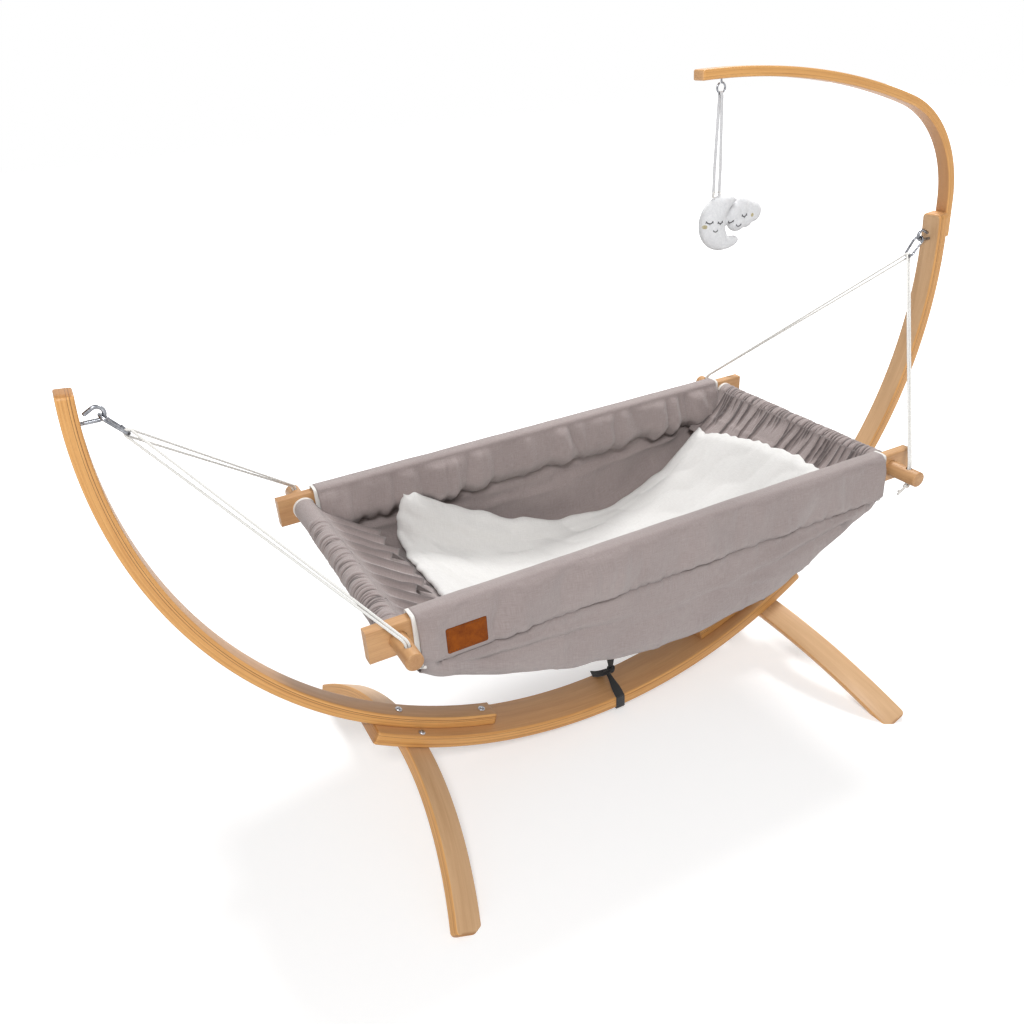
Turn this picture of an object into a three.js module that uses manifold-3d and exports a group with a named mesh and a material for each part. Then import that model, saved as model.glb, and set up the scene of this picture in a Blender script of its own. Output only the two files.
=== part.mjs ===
// Hanging baby cradle: a cloth bed on four cords between two bent-wood arms,
// with a padded moon and cloud on a third, thinner arm over the head end.
// Millimetres, +Z up, +X towards the head end, origin on the floor under the middle.
import * as THREE from 'three';
import { mergeVertices } from 'three/addons/utils/BufferGeometryUtils.js';
import Module from 'manifold-3d';

const wasm = await Module();
wasm.setup();

// Fits shared by all pieces
const seatGap = 0.3;
const clothGap = 0.5;
const cutOverrun = 5;

// Base arc, its top face an arc of this radius, and the clearance under its middle
const bow = { radius: 880, thickness: 26, width: 90, clearance: 16, endDeg: 33.4, edge: 4, corner: 7 };

// Upright arms: concentric with the base over the foot, then one long bend to the tip
const arm = { thickness: 24, width: 42, bendRadius: 738, footDeg: 16.6, tipDeg: 96, edge: 3, corner: 9 };

// Cross legs: x is the crossing's middle, spread the half distance between the toes
const leg = { x: 403, width: 48, thickness: 22, spread: 366, toeRise: 4, edge: 2.5, corner: 9 };

// Bolts with button heads, and their nuts
const bolt = { radius: 4, play: 0.4, headRadius: 7, headHeight: 3.6, tail: 2, fromMiddle: 33 };
const nut = { radius: 7.5, height: 6 };
const armBoltDegs = [18.2, 30.2];
const headShares = [[1, 0], [0.94, 0.5], [0.64, 0.9], [0, 1]];

// Screw hooks: a shank in the arm's inner face and an open curl in front of it
const hook = { wire: 3, radius: 9.5, reach: 23, belowTip: 38.862, depth: 16, tipRun: 17, tipDrop: 8, play: 0.3 };
const hookCurlDeg = 200;

// Mobile arm: a straight foot clamped on the right arm's back, a tight bend, a long flat one
const mobile = {
  thickness: 16, width: 27, footDeg: 93, footDrop: 10, straight: 68,
  bendRadius: 219.5, bendEndDeg: 160.6, reachRadius: 1337, tipDeg: 181.3, edge: 2.5, corner: 4,
};
const mobileScrew = { radius: 2.5, play: 0.3, headRadius: 4.8, headHeight: 2.4, length: 30, low: 16, pitch: 21 };
const eye = { wire: 1.5, radius: 8, fromTip: 47, shank: 11, play: 0.3, neck: 6 };

// Snap hooks in their own plane, wide at the top and narrow at the cords
const snap = { wire: 2.5, length: 50, topRadius: 10, endRadius: 8.5 };
const gate = { wire: 2.1, top: 12, end: 33 };

// Bed frame: two rails on edge, and two dowels that pass through both and stand out beyond them
const rail = { length: 1058, height: 54, thickness: 20, outerY: 245, z: 518, edge: 3 };
const dowel = { radius: 14, overhang: 62, x: 483, play: 0.4, edge: 2 };

// Doubled suspension cords, knotted under the dowel ends
const cord = { radius: 2, fromEnd: 23, holeRadius: 5.5, halfPair: 2.35, slack: 0.7, knot: 6.2, tail: 22, tailSpread: 6 };
const knotShares = [1.15, 0.95, 0.9];

// Sling: heights of the cloth's underside along the middle line and along the side wall
const sling = {
  cloth: 3, channelLength: 912, hemZ: 459, hemGap: 2.5, shoulder: 6,
  middleZ: 262, wallZ: 308, wallRise: 117, corner: 46, endRiseDeg: 45, fold: 4,
};
const floorPower = 2.2;
const sleeve = { cloth: 3.4, rucheDepth: 1.7, pitch: 30 };
const flap = { cloth: 2.5, length: 78, hemZ: 452, pleatDepth: 4.5, pleatPitch: 44 };
const piping = { width: 3.6, stand: 1.2 };
const label = { width: 66, height: 44, thickness: 1.6, left: 415, top: 514, corner: 3 };

// Mat: a channelled pad that lies on the bed's floor
const mat = { length: 700, width: 390, thickness: 14, crown: 9, edge: 5, groove: 4, groovePitch: 61, x: 32, lift: 2.8 };

// Webbing strap: a loop round the base arc, and a knotted drop from the bed
const strap = { x: 24, knotX: 31, width: 20, thickness: 1.8, knotZ: 80, knotRadius: 9 };
const strapTail = { length: 50, rise: 14, second: 34, parting: 5 };

// Padded moon and cloud on a ribbon
const ribbon = { width: 6.5, thickness: 0.9, spread: 3.5, drop: 158 };
const moon = { radius: 46, bite: 36, biteX: 44, depth: 17, forward: 5, right: 10 };
const cloud = { width: 90, height: 58, depth: 13, right: 60, up: 4, back: 13, lobe: 19 };
const cloudShares = [
  [-0.72, 0.1, 1], [-0.3, 0.16, 1.1], [0.12, 0.4, 1], [0.5, 0.02, 1], [-0.05, -0.28, 1.05],
];

// Counts of segments
const bowSteps = 24;
const footSteps = 6;
const armSteps = 16;
const legSteps = 16;
const bendSteps = 12;
const wireSides = 8;
const boltSides = 8;

const honeyWood = 0xcd965a;
const paleWood = 0xcdaa7d;
const clothGrey = 0xa59b99;
const webBlack = 0x161617;
const cordWhite = 0xe9e7e2;
const zinc = 0xb9bcc0;

const rad = THREE.MathUtils.degToRad;
const vec = (x, y, z) => new THREE.Vector3(x, y, z);

// The left end is the right end turned half round
const cradle = new THREE.Group();
const rightEnd = new THREE.Group();
const leftEnd = new THREE.Group();
leftEnd.rotation.z = Math.PI;
cradle.add(rightEnd, leftEnd);

function addMesh(parent, name, shape, color, roughness, metalness = 0, frame = null) {
  const geometry = shape.getMesh ? toGeometry(shape) : shape;
  const mesh = new THREE.Mesh(geometry, new THREE.MeshStandardMaterial({ color, roughness, metalness }));
  mesh.name = name;
  if (frame) {
    frame.decompose(mesh.position, mesh.quaternion, mesh.scale);
  }
  parent.add(mesh);
}

function toSolid(geometry, frame) {
  const bare = geometry.clone();
  bare.deleteAttribute('normal');
  bare.deleteAttribute('uv');
  if (frame) {
    bare.applyMatrix4(frame);
  }
  const merged = mergeVertices(bare, 1e-4);
  return new wasm.Manifold(new wasm.Mesh({
    numProp: 3,
    vertProperties: new Float32Array(merged.attributes.position.array),
    triVerts: new Uint32Array(merged.index.array),
  }));
}

function toGeometry(solid) {
  const mesh = solid.getMesh();
  const geometry = new THREE.BufferGeometry();
  geometry.setAttribute('position', new THREE.BufferAttribute(new Float32Array(mesh.vertProperties), 3));
  geometry.setIndex(new THREE.BufferAttribute(new Uint32Array(mesh.triVerts), 1));
  geometry.computeVertexNormals();
  return geometry;
}

function meshOf(points, index) {
  const geometry = new THREE.BufferGeometry().setFromPoints(points);
  geometry.setIndex(index);
  return geometry;
}

// A frame whose local z runs along an axis and whose local x leans towards a side
function frameAt(origin, axis, side) {
  const z = axis.clone().normalize();
  const x = side.clone().addScaledVector(z, -side.dot(z)).normalize();
  const y = vec(0, 0, 0).crossVectors(z, x);
  return new THREE.Matrix4().makeBasis(x, y, z).setPosition(origin);
}

// Local x, y and z of an outline drawn in the world's YZ plane and extruded along X
const alongX = new THREE.Matrix4().makeBasis(vec(0, 1, 0), vec(0, 0, 1), vec(1, 0, 0));

function drawn(points) {
  const shape = new THREE.Shape();
  points.forEach((p, i) => (i === 0 ? shape.moveTo(p.x, p.y) : shape.lineTo(p.x, p.y)));
  shape.closePath();
  return shape;
}

function withHole(outside, inside) {
  const shape = drawn(outside);
  shape.holes.push(new THREE.Path(inside));
  return shape;
}

function arcPoints(x, y, radius, fromDeg, toDeg, steps) {
  const points = [];
  for (let i = 0; i <= steps; i += 1) {
    const turn = rad(fromDeg + ((toDeg - fromDeg) * i) / steps);
    points.push(new THREE.Vector2(x + radius * Math.cos(turn), y + radius * Math.sin(turn)));
  }
  return points;
}

function roundedRect(width, height, radius, steps) {
  const x = width / 2 - radius;
  const y = height / 2 - radius;
  return [
    ...arcPoints(x, y, radius, 0, 90, steps),
    ...arcPoints(-x, y, radius, 90, 180, steps),
    ...arcPoints(-x, -y, radius, 180, 270, steps),
    ...arcPoints(x, -y, radius, 270, 360, steps),
  ];
}

function extruded(shape, depth) {
  return new THREE.ExtrudeGeometry(shape, { depth, bevelEnabled: false }).translate(0, 0, -depth / 2);
}

function rod(radius, length, sides) {
  return new THREE.CylinderGeometry(radius, radius, length, sides).rotateX(Math.PI / 2);
}

// A profile of radius and height pairs turned about Z
function turned(profile, sides) {
  const points = profile.map(([radius, z]) => new THREE.Vector2(radius, z));
  return new THREE.LatheGeometry(points, sides).rotateX(Math.PI / 2);
}

// A path that an extrusion follows station by station
class StationCurve extends THREE.Curve {
  constructor(stations) {
    super();
    this.stations = stations;
  }

  getPointAt(u, target = new THREE.Vector3()) {
    const place = u * (this.stations.length - 1);
    const i = Math.min(Math.floor(place + 1e-6), this.stations.length - 2);
    return target.copy(this.stations[i]).lerp(this.stations[i + 1], place - i);
  }

  getPoint(t, target) {
    return this.getPointAt(t, target);
  }

  getTangentAt(u, target = new THREE.Vector3()) {
    const last = this.stations.length - 1;
    const i = Math.round(u * last);
    const here = this.stations[i];
    const arrive = here.clone().sub(this.stations[Math.max(i - 1, 0)]).normalize();
    const leave = this.stations[Math.min(i + 1, last)].clone().sub(here).normalize();
    return target.copy(arrive).add(leave).normalize();
  }
}

function swept(section, stations) {
  return new THREE.ExtrudeGeometry(drawn(section), {
    steps: stations.length - 1, bevelEnabled: false, extrudePath: new StationCurve(stations),
  });
}

function tube(stations, radius, sides) {
  return swept(arcPoints(0, 0, radius, 0, 360, sides).slice(0, sides), stations);
}

// Bent wood: a strip drawn along its centre line in the XZ plane, its long edges rounded
function bentStrip(line, thickness, width, edge) {
  const half = thickness / 2;
  const below = line.map(({ x, z, turn }) => (
    new THREE.Vector2(x + half * Math.sin(turn), z - half * Math.cos(turn))
  ));
  const above = line.map(({ x, z, turn }) => (
    new THREE.Vector2(x - half * Math.sin(turn), z + half * Math.cos(turn))
  ));
  const strip = new THREE.ExtrudeGeometry(drawn([...below, ...above.reverse()]), {
    depth: width - 2 * edge,
    bevelEnabled: true,
    bevelSegments: 2,
    bevelSize: edge,
    bevelThickness: edge,
    bevelOffset: -edge,
  });
  return strip.translate(0, 0, edge - width / 2).rotateX(Math.PI / 2);
}

// Goes on from a point of a centre line, straight or turning to an angle at a radius
function walkStraight(from, length) {
  return [{
    x: from.x + length * Math.cos(from.turn), z: from.z + length * Math.sin(from.turn), turn: from.turn,
  }];
}

function walkArc(from, radius, toDeg, steps) {
  const line = [];
  for (let i = 1; i <= steps; i += 1) {
    const turn = from.turn + ((rad(toDeg) - from.turn) * i) / steps;
    line.push({
      x: from.x + radius * (Math.sin(turn) - Math.sin(from.turn)),
      z: from.z + radius * (Math.cos(from.turn) - Math.cos(turn)),
      turn,
    });
  }
  return line;
}

// Rounds the two corners of a strip's end as seen on its broad face
function roundCorners(solid, end, frame, width, thickness, corner) {
  const x = width / 2;
  const cut = [
    ...arcPoints(x - corner, -corner, corner, 0, 90, 4),
    new THREE.Vector2(x - corner, cutOverrun),
    new THREE.Vector2(x + cutOverrun, cutOverrun),
    new THREE.Vector2(x + cutOverrun, -corner),
  ];
  const plate = extruded(drawn(cut), thickness + 2 * cutOverrun);
  const mirror = new THREE.Matrix4().makeRotationY(Math.PI);
  const other = toSolid(plate, frame.clone().multiply(mirror));
  return solid.subtract(toSolid(plate, frame)).subtract(other);
}

function endFrame(end) {
  const forward = vec(Math.cos(end.turn), 0, Math.sin(end.turn));
  const across = vec(0, 1, 0);
  const normal = vec(0, 0, 0).crossVectors(across, forward);
  return new THREE.Matrix4().makeBasis(across, forward, normal).setPosition(end.x, 0, end.z);
}

// Base arc
const bowCentreZ = bow.clearance + bow.thickness + bow.radius;
const bowMid = bow.radius + bow.thickness / 2;
function onBow(deg, radius) {
  const turn = rad(deg);
  return { x: radius * Math.sin(turn), z: bowCentreZ - radius * Math.cos(turn), turn };
}

// Square to the base at an angle of its arc, local z out of its top face
function squareToBow(deg, y, radius) {
  const { x, z, turn } = onBow(deg, radius);
  return frameAt(vec(x, y, z), vec(-Math.sin(turn), 0, Math.cos(turn)), vec(Math.cos(turn), 0, Math.sin(turn)));
}

const bowLine = [];
for (let i = 0; i <= bowSteps; i += 1) {
  bowLine.push(onBow(bow.endDeg * ((2 * i) / bowSteps - 1), bowMid));
}
const bowEnd = bowLine[bowSteps];
let baseSolid = toSolid(bentStrip(bowLine, bow.thickness, bow.width, bow.edge));
baseSolid = roundCorners(baseSolid, bowEnd, endFrame(bowEnd), bow.width, bow.thickness, bow.corner);
baseSolid = baseSolid.rotate([0, 0, 180]);
baseSolid = roundCorners(baseSolid, bowEnd, endFrame(bowEnd), bow.width, bow.thickness, bow.corner);

// Upright arm
const armMid = bow.radius - seatGap - arm.thickness / 2;
const armLine = [];
for (let i = 0; i <= footSteps; i += 1) {
  armLine.push(onBow(arm.footDeg + ((bow.endDeg - arm.footDeg) * i) / footSteps, armMid));
}
armLine.push(...walkArc(armLine[footSteps], arm.bendRadius, arm.tipDeg, armSteps));
const armTip = armLine[armLine.length - 1];
let armSolid = toSolid(bentStrip(armLine, arm.thickness, arm.width, arm.edge));
armSolid = roundCorners(armSolid, armTip, endFrame(armTip), arm.width, arm.thickness, arm.corner);

// Cross leg: an arch in the plane square to the base, its toes planed level with the floor
const legDeg = THREE.MathUtils.radToDeg(Math.asin(leg.x / bow.radius));
const legTop = onBow(legDeg, bow.radius + bow.thickness + seatGap);
const legTilt = Math.cos(legTop.turn);
const legDrop = legTop.z / legTilt;
const legRadius = (leg.spread ** 2 + legDrop ** 2) / (2 * legDrop);
const toeDrop = (legTop.z - leg.toeRise) / legTilt;
const legHalf = Math.acos(1 - toeDrop / legRadius);
const legMid = legRadius - leg.thickness / 2;
const legLine = [];
for (let i = 0; i <= legSteps; i += 1) {
  const turn = legHalf * (1 - (2 * i) / legSteps);
  legLine.push({ x: -legMid * Math.sin(turn), z: legMid * Math.cos(turn), turn });
}
const legOut = vec(-Math.sin(legTop.turn), 0, Math.cos(legTop.turn));
const legAlong = vec(Math.cos(legTop.turn), 0, Math.sin(legTop.turn));
const legFrame = new THREE.Matrix4().makeBasis(vec(0, 1, 0), legAlong.clone().negate(), legOut);
legFrame.setPosition(vec(legTop.x, 0, legTop.z).addScaledVector(legOut, -legRadius));
const legEnd = legLine[legSteps];
let legSolid = toSolid(bentStrip(legLine, leg.thickness, leg.width, leg.edge));
legSolid = roundCorners(legSolid, legEnd, endFrame(legEnd), leg.width, leg.thickness, leg.corner);
legSolid = legSolid.rotate([0, 0, 180]);
legSolid = roundCorners(legSolid, legEnd, endFrame(legEnd), leg.width, leg.thickness, leg.corner);
legSolid = legSolid.transform(legFrame.elements);
const ground = new THREE.BoxGeometry(4 * leg.width, 4 * leg.spread, 2 * leg.width);
legSolid = legSolid.subtract(toSolid(ground.translate(leg.x, 0, -leg.width)));

// How far the leg's underside has dropped at the far side of a nut
const nutEdge = bolt.fromMiddle + nut.radius;
const legSag = legMid - Math.sqrt(legMid ** 2 - nutEdge ** 2);

// Bolts of the right end: angle on the base, place across it, wood above and below its top face
const boltPlaces = [
  ...armBoltDegs.map((deg, i) => ({
    kind: `arm_bolt_${i + 1}`, deg, y: 0, above: seatGap + arm.thickness, below: bow.thickness,
  })),
  ...[-1, 1].map((side) => ({
    kind: side < 0 ? 'leg_bolt_a' : 'leg_bolt_b',
    deg: legDeg,
    y: side * bolt.fromMiddle,
    above: 0,
    below: bow.thickness + seatGap + leg.thickness + legSag,
  })),
];
const boreRadius = bolt.radius + bolt.play;
const boreReach = 2 * (bow.thickness + arm.thickness + leg.thickness);
let bores = null;
boltPlaces.forEach(({ deg, y }) => {
  const bore = toSolid(rod(boreRadius, boreReach, boltSides), squareToBow(deg, y, bow.radius));
  bores = bores ? bores.add(bore) : bore;
});
baseSolid = baseSolid.subtract(bores).subtract(bores.rotate([0, 0, 180]));
armSolid = armSolid.subtract(bores);
legSolid = legSolid.subtract(bores);

function boltGeometry({ above, below }) {
  const end = -below - seatGap - nut.height - bolt.tail;
  const head = headShares.map(([out, up]) => [
    bolt.headRadius * out, above + seatGap + bolt.headHeight * up,
  ]);
  return turned([[0, end], [bolt.radius, end], [bolt.radius, above + seatGap], ...head], boltSides);
}

function nutSolid({ below }) {
  const hexagon = arcPoints(0, 0, nut.radius, 0, 360, 6).slice(0, 6);
  const ring = withHole(hexagon, arcPoints(0, 0, boreRadius, 360, 0, boltSides).slice(0, boltSides));
  return extruded(ring, nut.height).translate(0, 0, -below - seatGap - nut.height / 2);
}

[['left', leftEnd], ['right', rightEnd]].forEach(([side, end]) => {
  boltPlaces.forEach((place) => {
    const frame = squareToBow(place.deg, place.y, bow.radius);
    addMesh(end, `${side}_${place.kind}`, boltGeometry(place), zinc, 0.32, 0.9, frame);
    addMesh(end, `${side}_${place.kind.replace('bolt', 'nut')}`, nutSolid(place), zinc, 0.38, 0.9, frame);
  });
});

// Screw hook: where the arm's inner face stands at the height of the shank
const hookZ = armTip.z - hook.belowTip;
const shankZ = hookZ - hook.radius;
function innerFaceX(height) {
  const face = armLine.map(({ x, z, turn }) => ({
    x: x - (arm.thickness / 2) * Math.sin(turn), z: z + (arm.thickness / 2) * Math.cos(turn),
  }));
  const i = face.findIndex((p) => p.z >= height);
  const low = face[i - 1];
  const share = (height - low.z) / (face[i].z - low.z);
  return low.x + share * (face[i].x - low.x);
}
const hookFaceX = innerFaceX(shankZ);
const hookCentre = vec(hookFaceX - hook.reach, 0, hookZ);
const curl = arcPoints(hookCentre.x, hookCentre.z, hook.radius, 270, 270 - hookCurlDeg, bendSteps);
const hookRoute = [
  vec(hookFaceX + hook.depth, 0, shankZ),
  ...curl.map((p) => vec(p.x, 0, p.y)),
  vec(hookCentre.x + hook.tipRun, 0, hookCentre.z + hook.radius - hook.tipDrop),
];
const hookGeometry = tube(hookRoute, hook.wire, wireSides);
const shankBore = rod(hook.wire + hook.play, 2 * (hook.depth + seatGap), wireSides);
armSolid = armSolid.subtract(toSolid(shankBore, frameAt(vec(hookFaceX, 0, shankZ), vec(1, 0, 0), vec(0, 1, 0))));

// Mobile arm: its straight foot touches the arm's curved back where both run alike
const clampTurn = rad(mobile.footDeg);
const clampPoint = walkArc(armLine[footSteps], arm.bendRadius, mobile.footDeg, 1)[0];
const clampOff = arm.thickness / 2 + seatGap + mobile.thickness / 2;
const mobileStart = {
  x: clampPoint.x + clampOff * Math.sin(clampTurn) - mobile.footDrop * Math.cos(clampTurn),
  z: clampPoint.z - clampOff * Math.cos(clampTurn) - mobile.footDrop * Math.sin(clampTurn),
  turn: clampTurn,
};
const mobileLine = [mobileStart, ...walkStraight(mobileStart, mobile.straight)];
mobileLine.push(...walkArc(mobileLine[1], mobile.bendRadius, mobile.bendEndDeg, bendSteps));
mobileLine.push(...walkArc(mobileLine[mobileLine.length - 1], mobile.reachRadius, mobile.tipDeg, bendSteps));
const mobileTip = mobileLine[mobileLine.length - 1];
let mobileSolid = toSolid(bentStrip(mobileLine, mobile.thickness, mobile.width, mobile.edge));
mobileSolid = roundCorners(
  mobileSolid, mobileTip, endFrame(mobileTip), mobile.width, mobile.thickness, mobile.corner,
);

// Two screws through the foot into the arm
const screwAxis = vec(Math.sin(clampTurn), 0, -Math.cos(clampTurn));
const footUp = vec(Math.cos(clampTurn), 0, Math.sin(clampTurn));
const screwFrames = [mobileScrew.low, mobileScrew.low + mobileScrew.pitch].map((up) => {
  const head = vec(mobileStart.x, 0, mobileStart.z).addScaledVector(footUp, up);
  return frameAt(head.addScaledVector(screwAxis, mobile.thickness / 2), screwAxis, vec(0, 1, 0));
});
const pilot = rod(mobileScrew.radius + mobileScrew.play, 2 * (mobileScrew.length + seatGap), boltSides);
screwFrames.forEach((frame) => {
  mobileSolid = mobileSolid.subtract(toSolid(pilot, frame));
});
const drilledArm = armSolid.subtract(toSolid(pilot, screwFrames[0])).subtract(toSolid(pilot, screwFrames[1]));
const screwHead = headShares.map(([out, up]) => [
  mobileScrew.headRadius * out, seatGap + mobileScrew.headHeight * up,
]);
const screwGeometry = turned([
  [0, -mobileScrew.length], [mobileScrew.radius, -mobileScrew.length], [mobileScrew.radius, seatGap], ...screwHead,
], boltSides);

// Screw eye under the mobile arm's tip
const eyeX = mobileTip.x + eye.fromTip;
const eyeAt = mobileLine.findIndex((p, i) => i > bendSteps && p.x <= eyeX);
const eyeShare = (mobileLine[eyeAt - 1].x - eyeX) / (mobileLine[eyeAt - 1].x - mobileLine[eyeAt].x);
const eyeMidZ = mobileLine[eyeAt - 1].z + eyeShare * (mobileLine[eyeAt].z - mobileLine[eyeAt - 1].z);
const eyeFace = eyeMidZ - mobile.thickness / 2;
const eyeCentre = vec(eyeX, 0, eyeFace - eye.neck - eye.radius);
const eyeRoute = [
  vec(eyeX, 0, eyeFace + eye.shank),
  ...arcPoints(eyeX, eyeCentre.z, eye.radius, 90, -244, bendSteps).map((p) => vec(p.x, 0, p.y)),
];
mobileSolid = mobileSolid.subtract(toSolid(
  rod(eye.wire + eye.play, 2 * (eye.shank + seatGap), wireSides),
  new THREE.Matrix4().makeTranslation(eyeX, 0, eyeFace),
));

addMesh(cradle, 'base_arc', baseSolid, honeyWood, 0.5);
addMesh(leftEnd, 'left_arm', armSolid, honeyWood, 0.5);
addMesh(rightEnd, 'right_arm', drilledArm, honeyWood, 0.5);
addMesh(leftEnd, 'left_leg', legSolid, honeyWood, 0.5);
addMesh(rightEnd, 'right_leg', legSolid, honeyWood, 0.5);
addMesh(leftEnd, 'left_hook', hookGeometry, zinc, 0.25, 0.95);
addMesh(rightEnd, 'right_hook', hookGeometry, zinc, 0.25, 0.95);
addMesh(cradle, 'mobile_arm', mobileSolid, honeyWood, 0.5);
addMesh(cradle, 'mobile_screw_lower', screwGeometry, zinc, 0.35, 0.9, screwFrames[0]);
addMesh(cradle, 'mobile_screw_upper', screwGeometry, zinc, 0.35, 0.9, screwFrames[1]);
addMesh(cradle, 'mobile_eye', tube(eyeRoute, eye.wire, 6), zinc, 0.3, 0.95);

// Rails
const railY = rail.outerY - rail.thickness / 2;
const board = extruded(drawn(roundedRect(rail.thickness, rail.height, rail.edge, 2)), rail.length);
const dowelHoles = [-dowel.x, dowel.x].map((x) => toSolid(
  rod(dowel.radius + dowel.play, rail.thickness + 2 * cutOverrun, 20),
  frameAt(vec(x, 0, 0), vec(0, 1, 0), vec(1, 0, 0)),
));
const railSolid = toSolid(board, alongX).subtract(dowelHoles[0]).subtract(dowelHoles[1]);
[['near_rail', -railY], ['far_rail', railY]].forEach(([name, y]) => {
  addMesh(cradle, name, railSolid, paleWood, 0.6, 0, new THREE.Matrix4().makeTranslation(0, y, rail.z));
});

// Dowels, with a cross hole for the cord near each end
const dowelHalf = rail.outerY + dowel.overhang;
const cordY = dowelHalf - cord.fromEnd;
const dowelFrame = frameAt(vec(dowel.x, 0, rail.z), vec(0, 1, 0), vec(1, 0, 0));
let dowelSolid = toSolid(turned([
  [0, -dowelHalf], [dowel.radius - dowel.edge, -dowelHalf], [dowel.radius, dowel.edge - dowelHalf],
  [dowel.radius, dowelHalf - dowel.edge], [dowel.radius - dowel.edge, dowelHalf], [0, dowelHalf],
], 20), dowelFrame);
[-cordY, cordY].forEach((y) => {
  const hole = rod(cord.holeRadius, 2 * dowel.radius + 2 * cutOverrun, 12);
  dowelSolid = dowelSolid.subtract(toSolid(hole, new THREE.Matrix4().makeTranslation(dowel.x, y, rail.z)));
});

// Snap hook: local x across, local z along the pull of the cords, its top wire in the hook's curl
const pull = vec(dowel.x - hookCentre.x, 0, rail.z - hookCentre.z).normalize();
const snapTop = hookCentre.clone().addScaledVector(pull, hook.radius - hook.wire - seatGap - snap.wire);
const snapFrame = frameAt(snapTop, pull, vec(0, 1, 0));
const snapSpan = snap.length - 2 * snap.wire;
const snapEnd = snapSpan - snap.endRadius;
const gatePin = 2 * seatGap;
function gateX(down) {
  const share = (down - snap.topRadius) / (snapEnd - snap.topRadius);
  return -snap.topRadius - share * (snap.endRadius - snap.topRadius);
}
const inSnap = (p) => vec(p.x, 0, p.y);
const snapRoute = [
  vec(gateX(gate.top - gatePin), 0, gate.top - gatePin),
  ...arcPoints(0, snap.topRadius, snap.topRadius, 180, 360, 8).map(inSnap),
  ...arcPoints(0, snapEnd, snap.endRadius, 0, 180, 8).map(inSnap),
  vec(gateX(gate.end + gatePin), 0, gate.end + gatePin),
];
const snapGeometry = tube(snapRoute, snap.wire, wireSides);
const gateGeometry = tube([
  vec(gateX(gate.top), 0, gate.top),
  vec(gateX(gate.end), 0, gate.end),
], gate.wire, wireSides);

// Cord of the right end: up through the dowel, over the snap hook's end and down again
const bightRadius = snap.wire + cord.slack + cord.radius;
const bightShift = cord.radius + seatGap / 2;
const barRise = snap.endRadius - Math.sqrt(snap.endRadius ** 2 - bightShift ** 2);
const barSide = vec(0, 0, 0).crossVectors(pull, vec(0, 1, 0)).normalize();
const bar = snapTop.clone().addScaledVector(pull, snapSpan - barRise).setY(-bightShift);
const mouthZ = rail.z + dowel.radius + 3 * cord.radius;
const knotZ = rail.z - dowel.radius - seatGap - cord.knot;
function strand(from, shift) {
  const mouth = vec(dowel.x + shift, -cordY, mouthZ);
  const end = vec(dowel.x + shift, -cordY, knotZ);
  const enter = mouth.clone().lerp(from, (4 * cord.radius) / mouth.distanceTo(from));
  const leave = mouth.clone().lerp(end, (4 * cord.radius) / mouth.distanceTo(end));
  const bend = new THREE.QuadraticBezierCurve3(enter, mouth, leave);
  return [...bend.getPoints(4), end];
}
const bight = arcPoints(0, 0, bightRadius, 0, 180, 8).map((p) => (
  bar.clone().addScaledVector(barSide, p.x).addScaledVector(pull, -p.y)
));
const sideShift = Math.sign(barSide.x) * cord.halfPair;
const cordRoute = [
  ...strand(bight[0], sideShift).reverse(),
  ...bight,
  ...strand(bight[8], -sideShift),
];
const knotCentre = vec(dowel.x, -cordY, knotZ);
let cordSolid = toSolid(tube(cordRoute, cord.radius, 8));
cordSolid = cordSolid.add(toSolid(
  new THREE.IcosahedronGeometry(cord.knot, 1).scale(...knotShares),
  new THREE.Matrix4().makeTranslation(...knotCentre),
));
[-1, 1].forEach((side) => {
  const end = knotCentre.clone().add(vec(side * cord.tailSpread, 0, -cord.tail));
  const bend = vec(end.x, end.y, (end.z + knotCentre.z) / 2);
  cordSolid = cordSolid.add(toSolid(tube([knotCentre, bend, end], cord.radius, 6)));
});
const cordMirror = cordSolid.mirror([0, 1, 0]);

[['left', leftEnd], ['right', rightEnd]].forEach(([side, end]) => {
  const [here, there] = side === 'right' ? ['near', 'far'] : ['far', 'near'];
  addMesh(end, `${side}_dowel`, dowelSolid, paleWood, 0.6);
  addMesh(end, `${side}_carabiner`, snapGeometry, zinc, 0.22, 0.95, snapFrame);
  addMesh(end, `${side}_gate`, gateGeometry, zinc, 0.22, 0.95, snapFrame);
  addMesh(end, `${here}_${side}_cord`, cordSolid, cordWhite, 0.8);
  addMesh(end, `${there}_${side}_cord`, cordMirror, cordWhite, 0.8);
});

// Sling: the cloth bed hangs between the rails' outer faces and rises to the sleeves
const wallY = rail.outerY + clothGap + sling.cloth;
const channelHalf = sling.channelLength / 2;
const sleeveInner = dowel.radius + clothGap;
const sleeveOuter = sleeveInner + sleeve.cloth + sleeve.rucheDepth;
const endRise = rad(sling.endRiseDeg);
const endReach = sleeveOuter + seatGap + sling.cloth;
const bedEndX = dowel.x - endReach * Math.sin(endRise);
const bedEndZ = rail.z - endReach * Math.cos(endRise);
const risePower = (Math.tan(endRise) * bedEndX) / (bedEndZ - sling.middleZ);
const flatY = wallY - sling.corner;

// Height of the bed's underside between the rounded corners
function bedZ(x, y) {
  const middle = sling.middleZ + (bedEndZ - sling.middleZ) * (Math.abs(x) / bedEndX) ** risePower;
  const side = sling.wallZ + sling.wallRise * (x / channelHalf) ** 2;
  const across = Math.abs(y) / wallY;
  const fold = Math.cos(5 * Math.PI * across) * Math.max(0, 1 - (y / flatY) ** 2);
  const endShare = Math.abs(x / bedEndX) ** 4 * (1 - Math.abs(x / bedEndX) ** 24);
  return middle + (side - middle) * across ** floorPower - sling.fold * fold * endShare;
}

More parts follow.
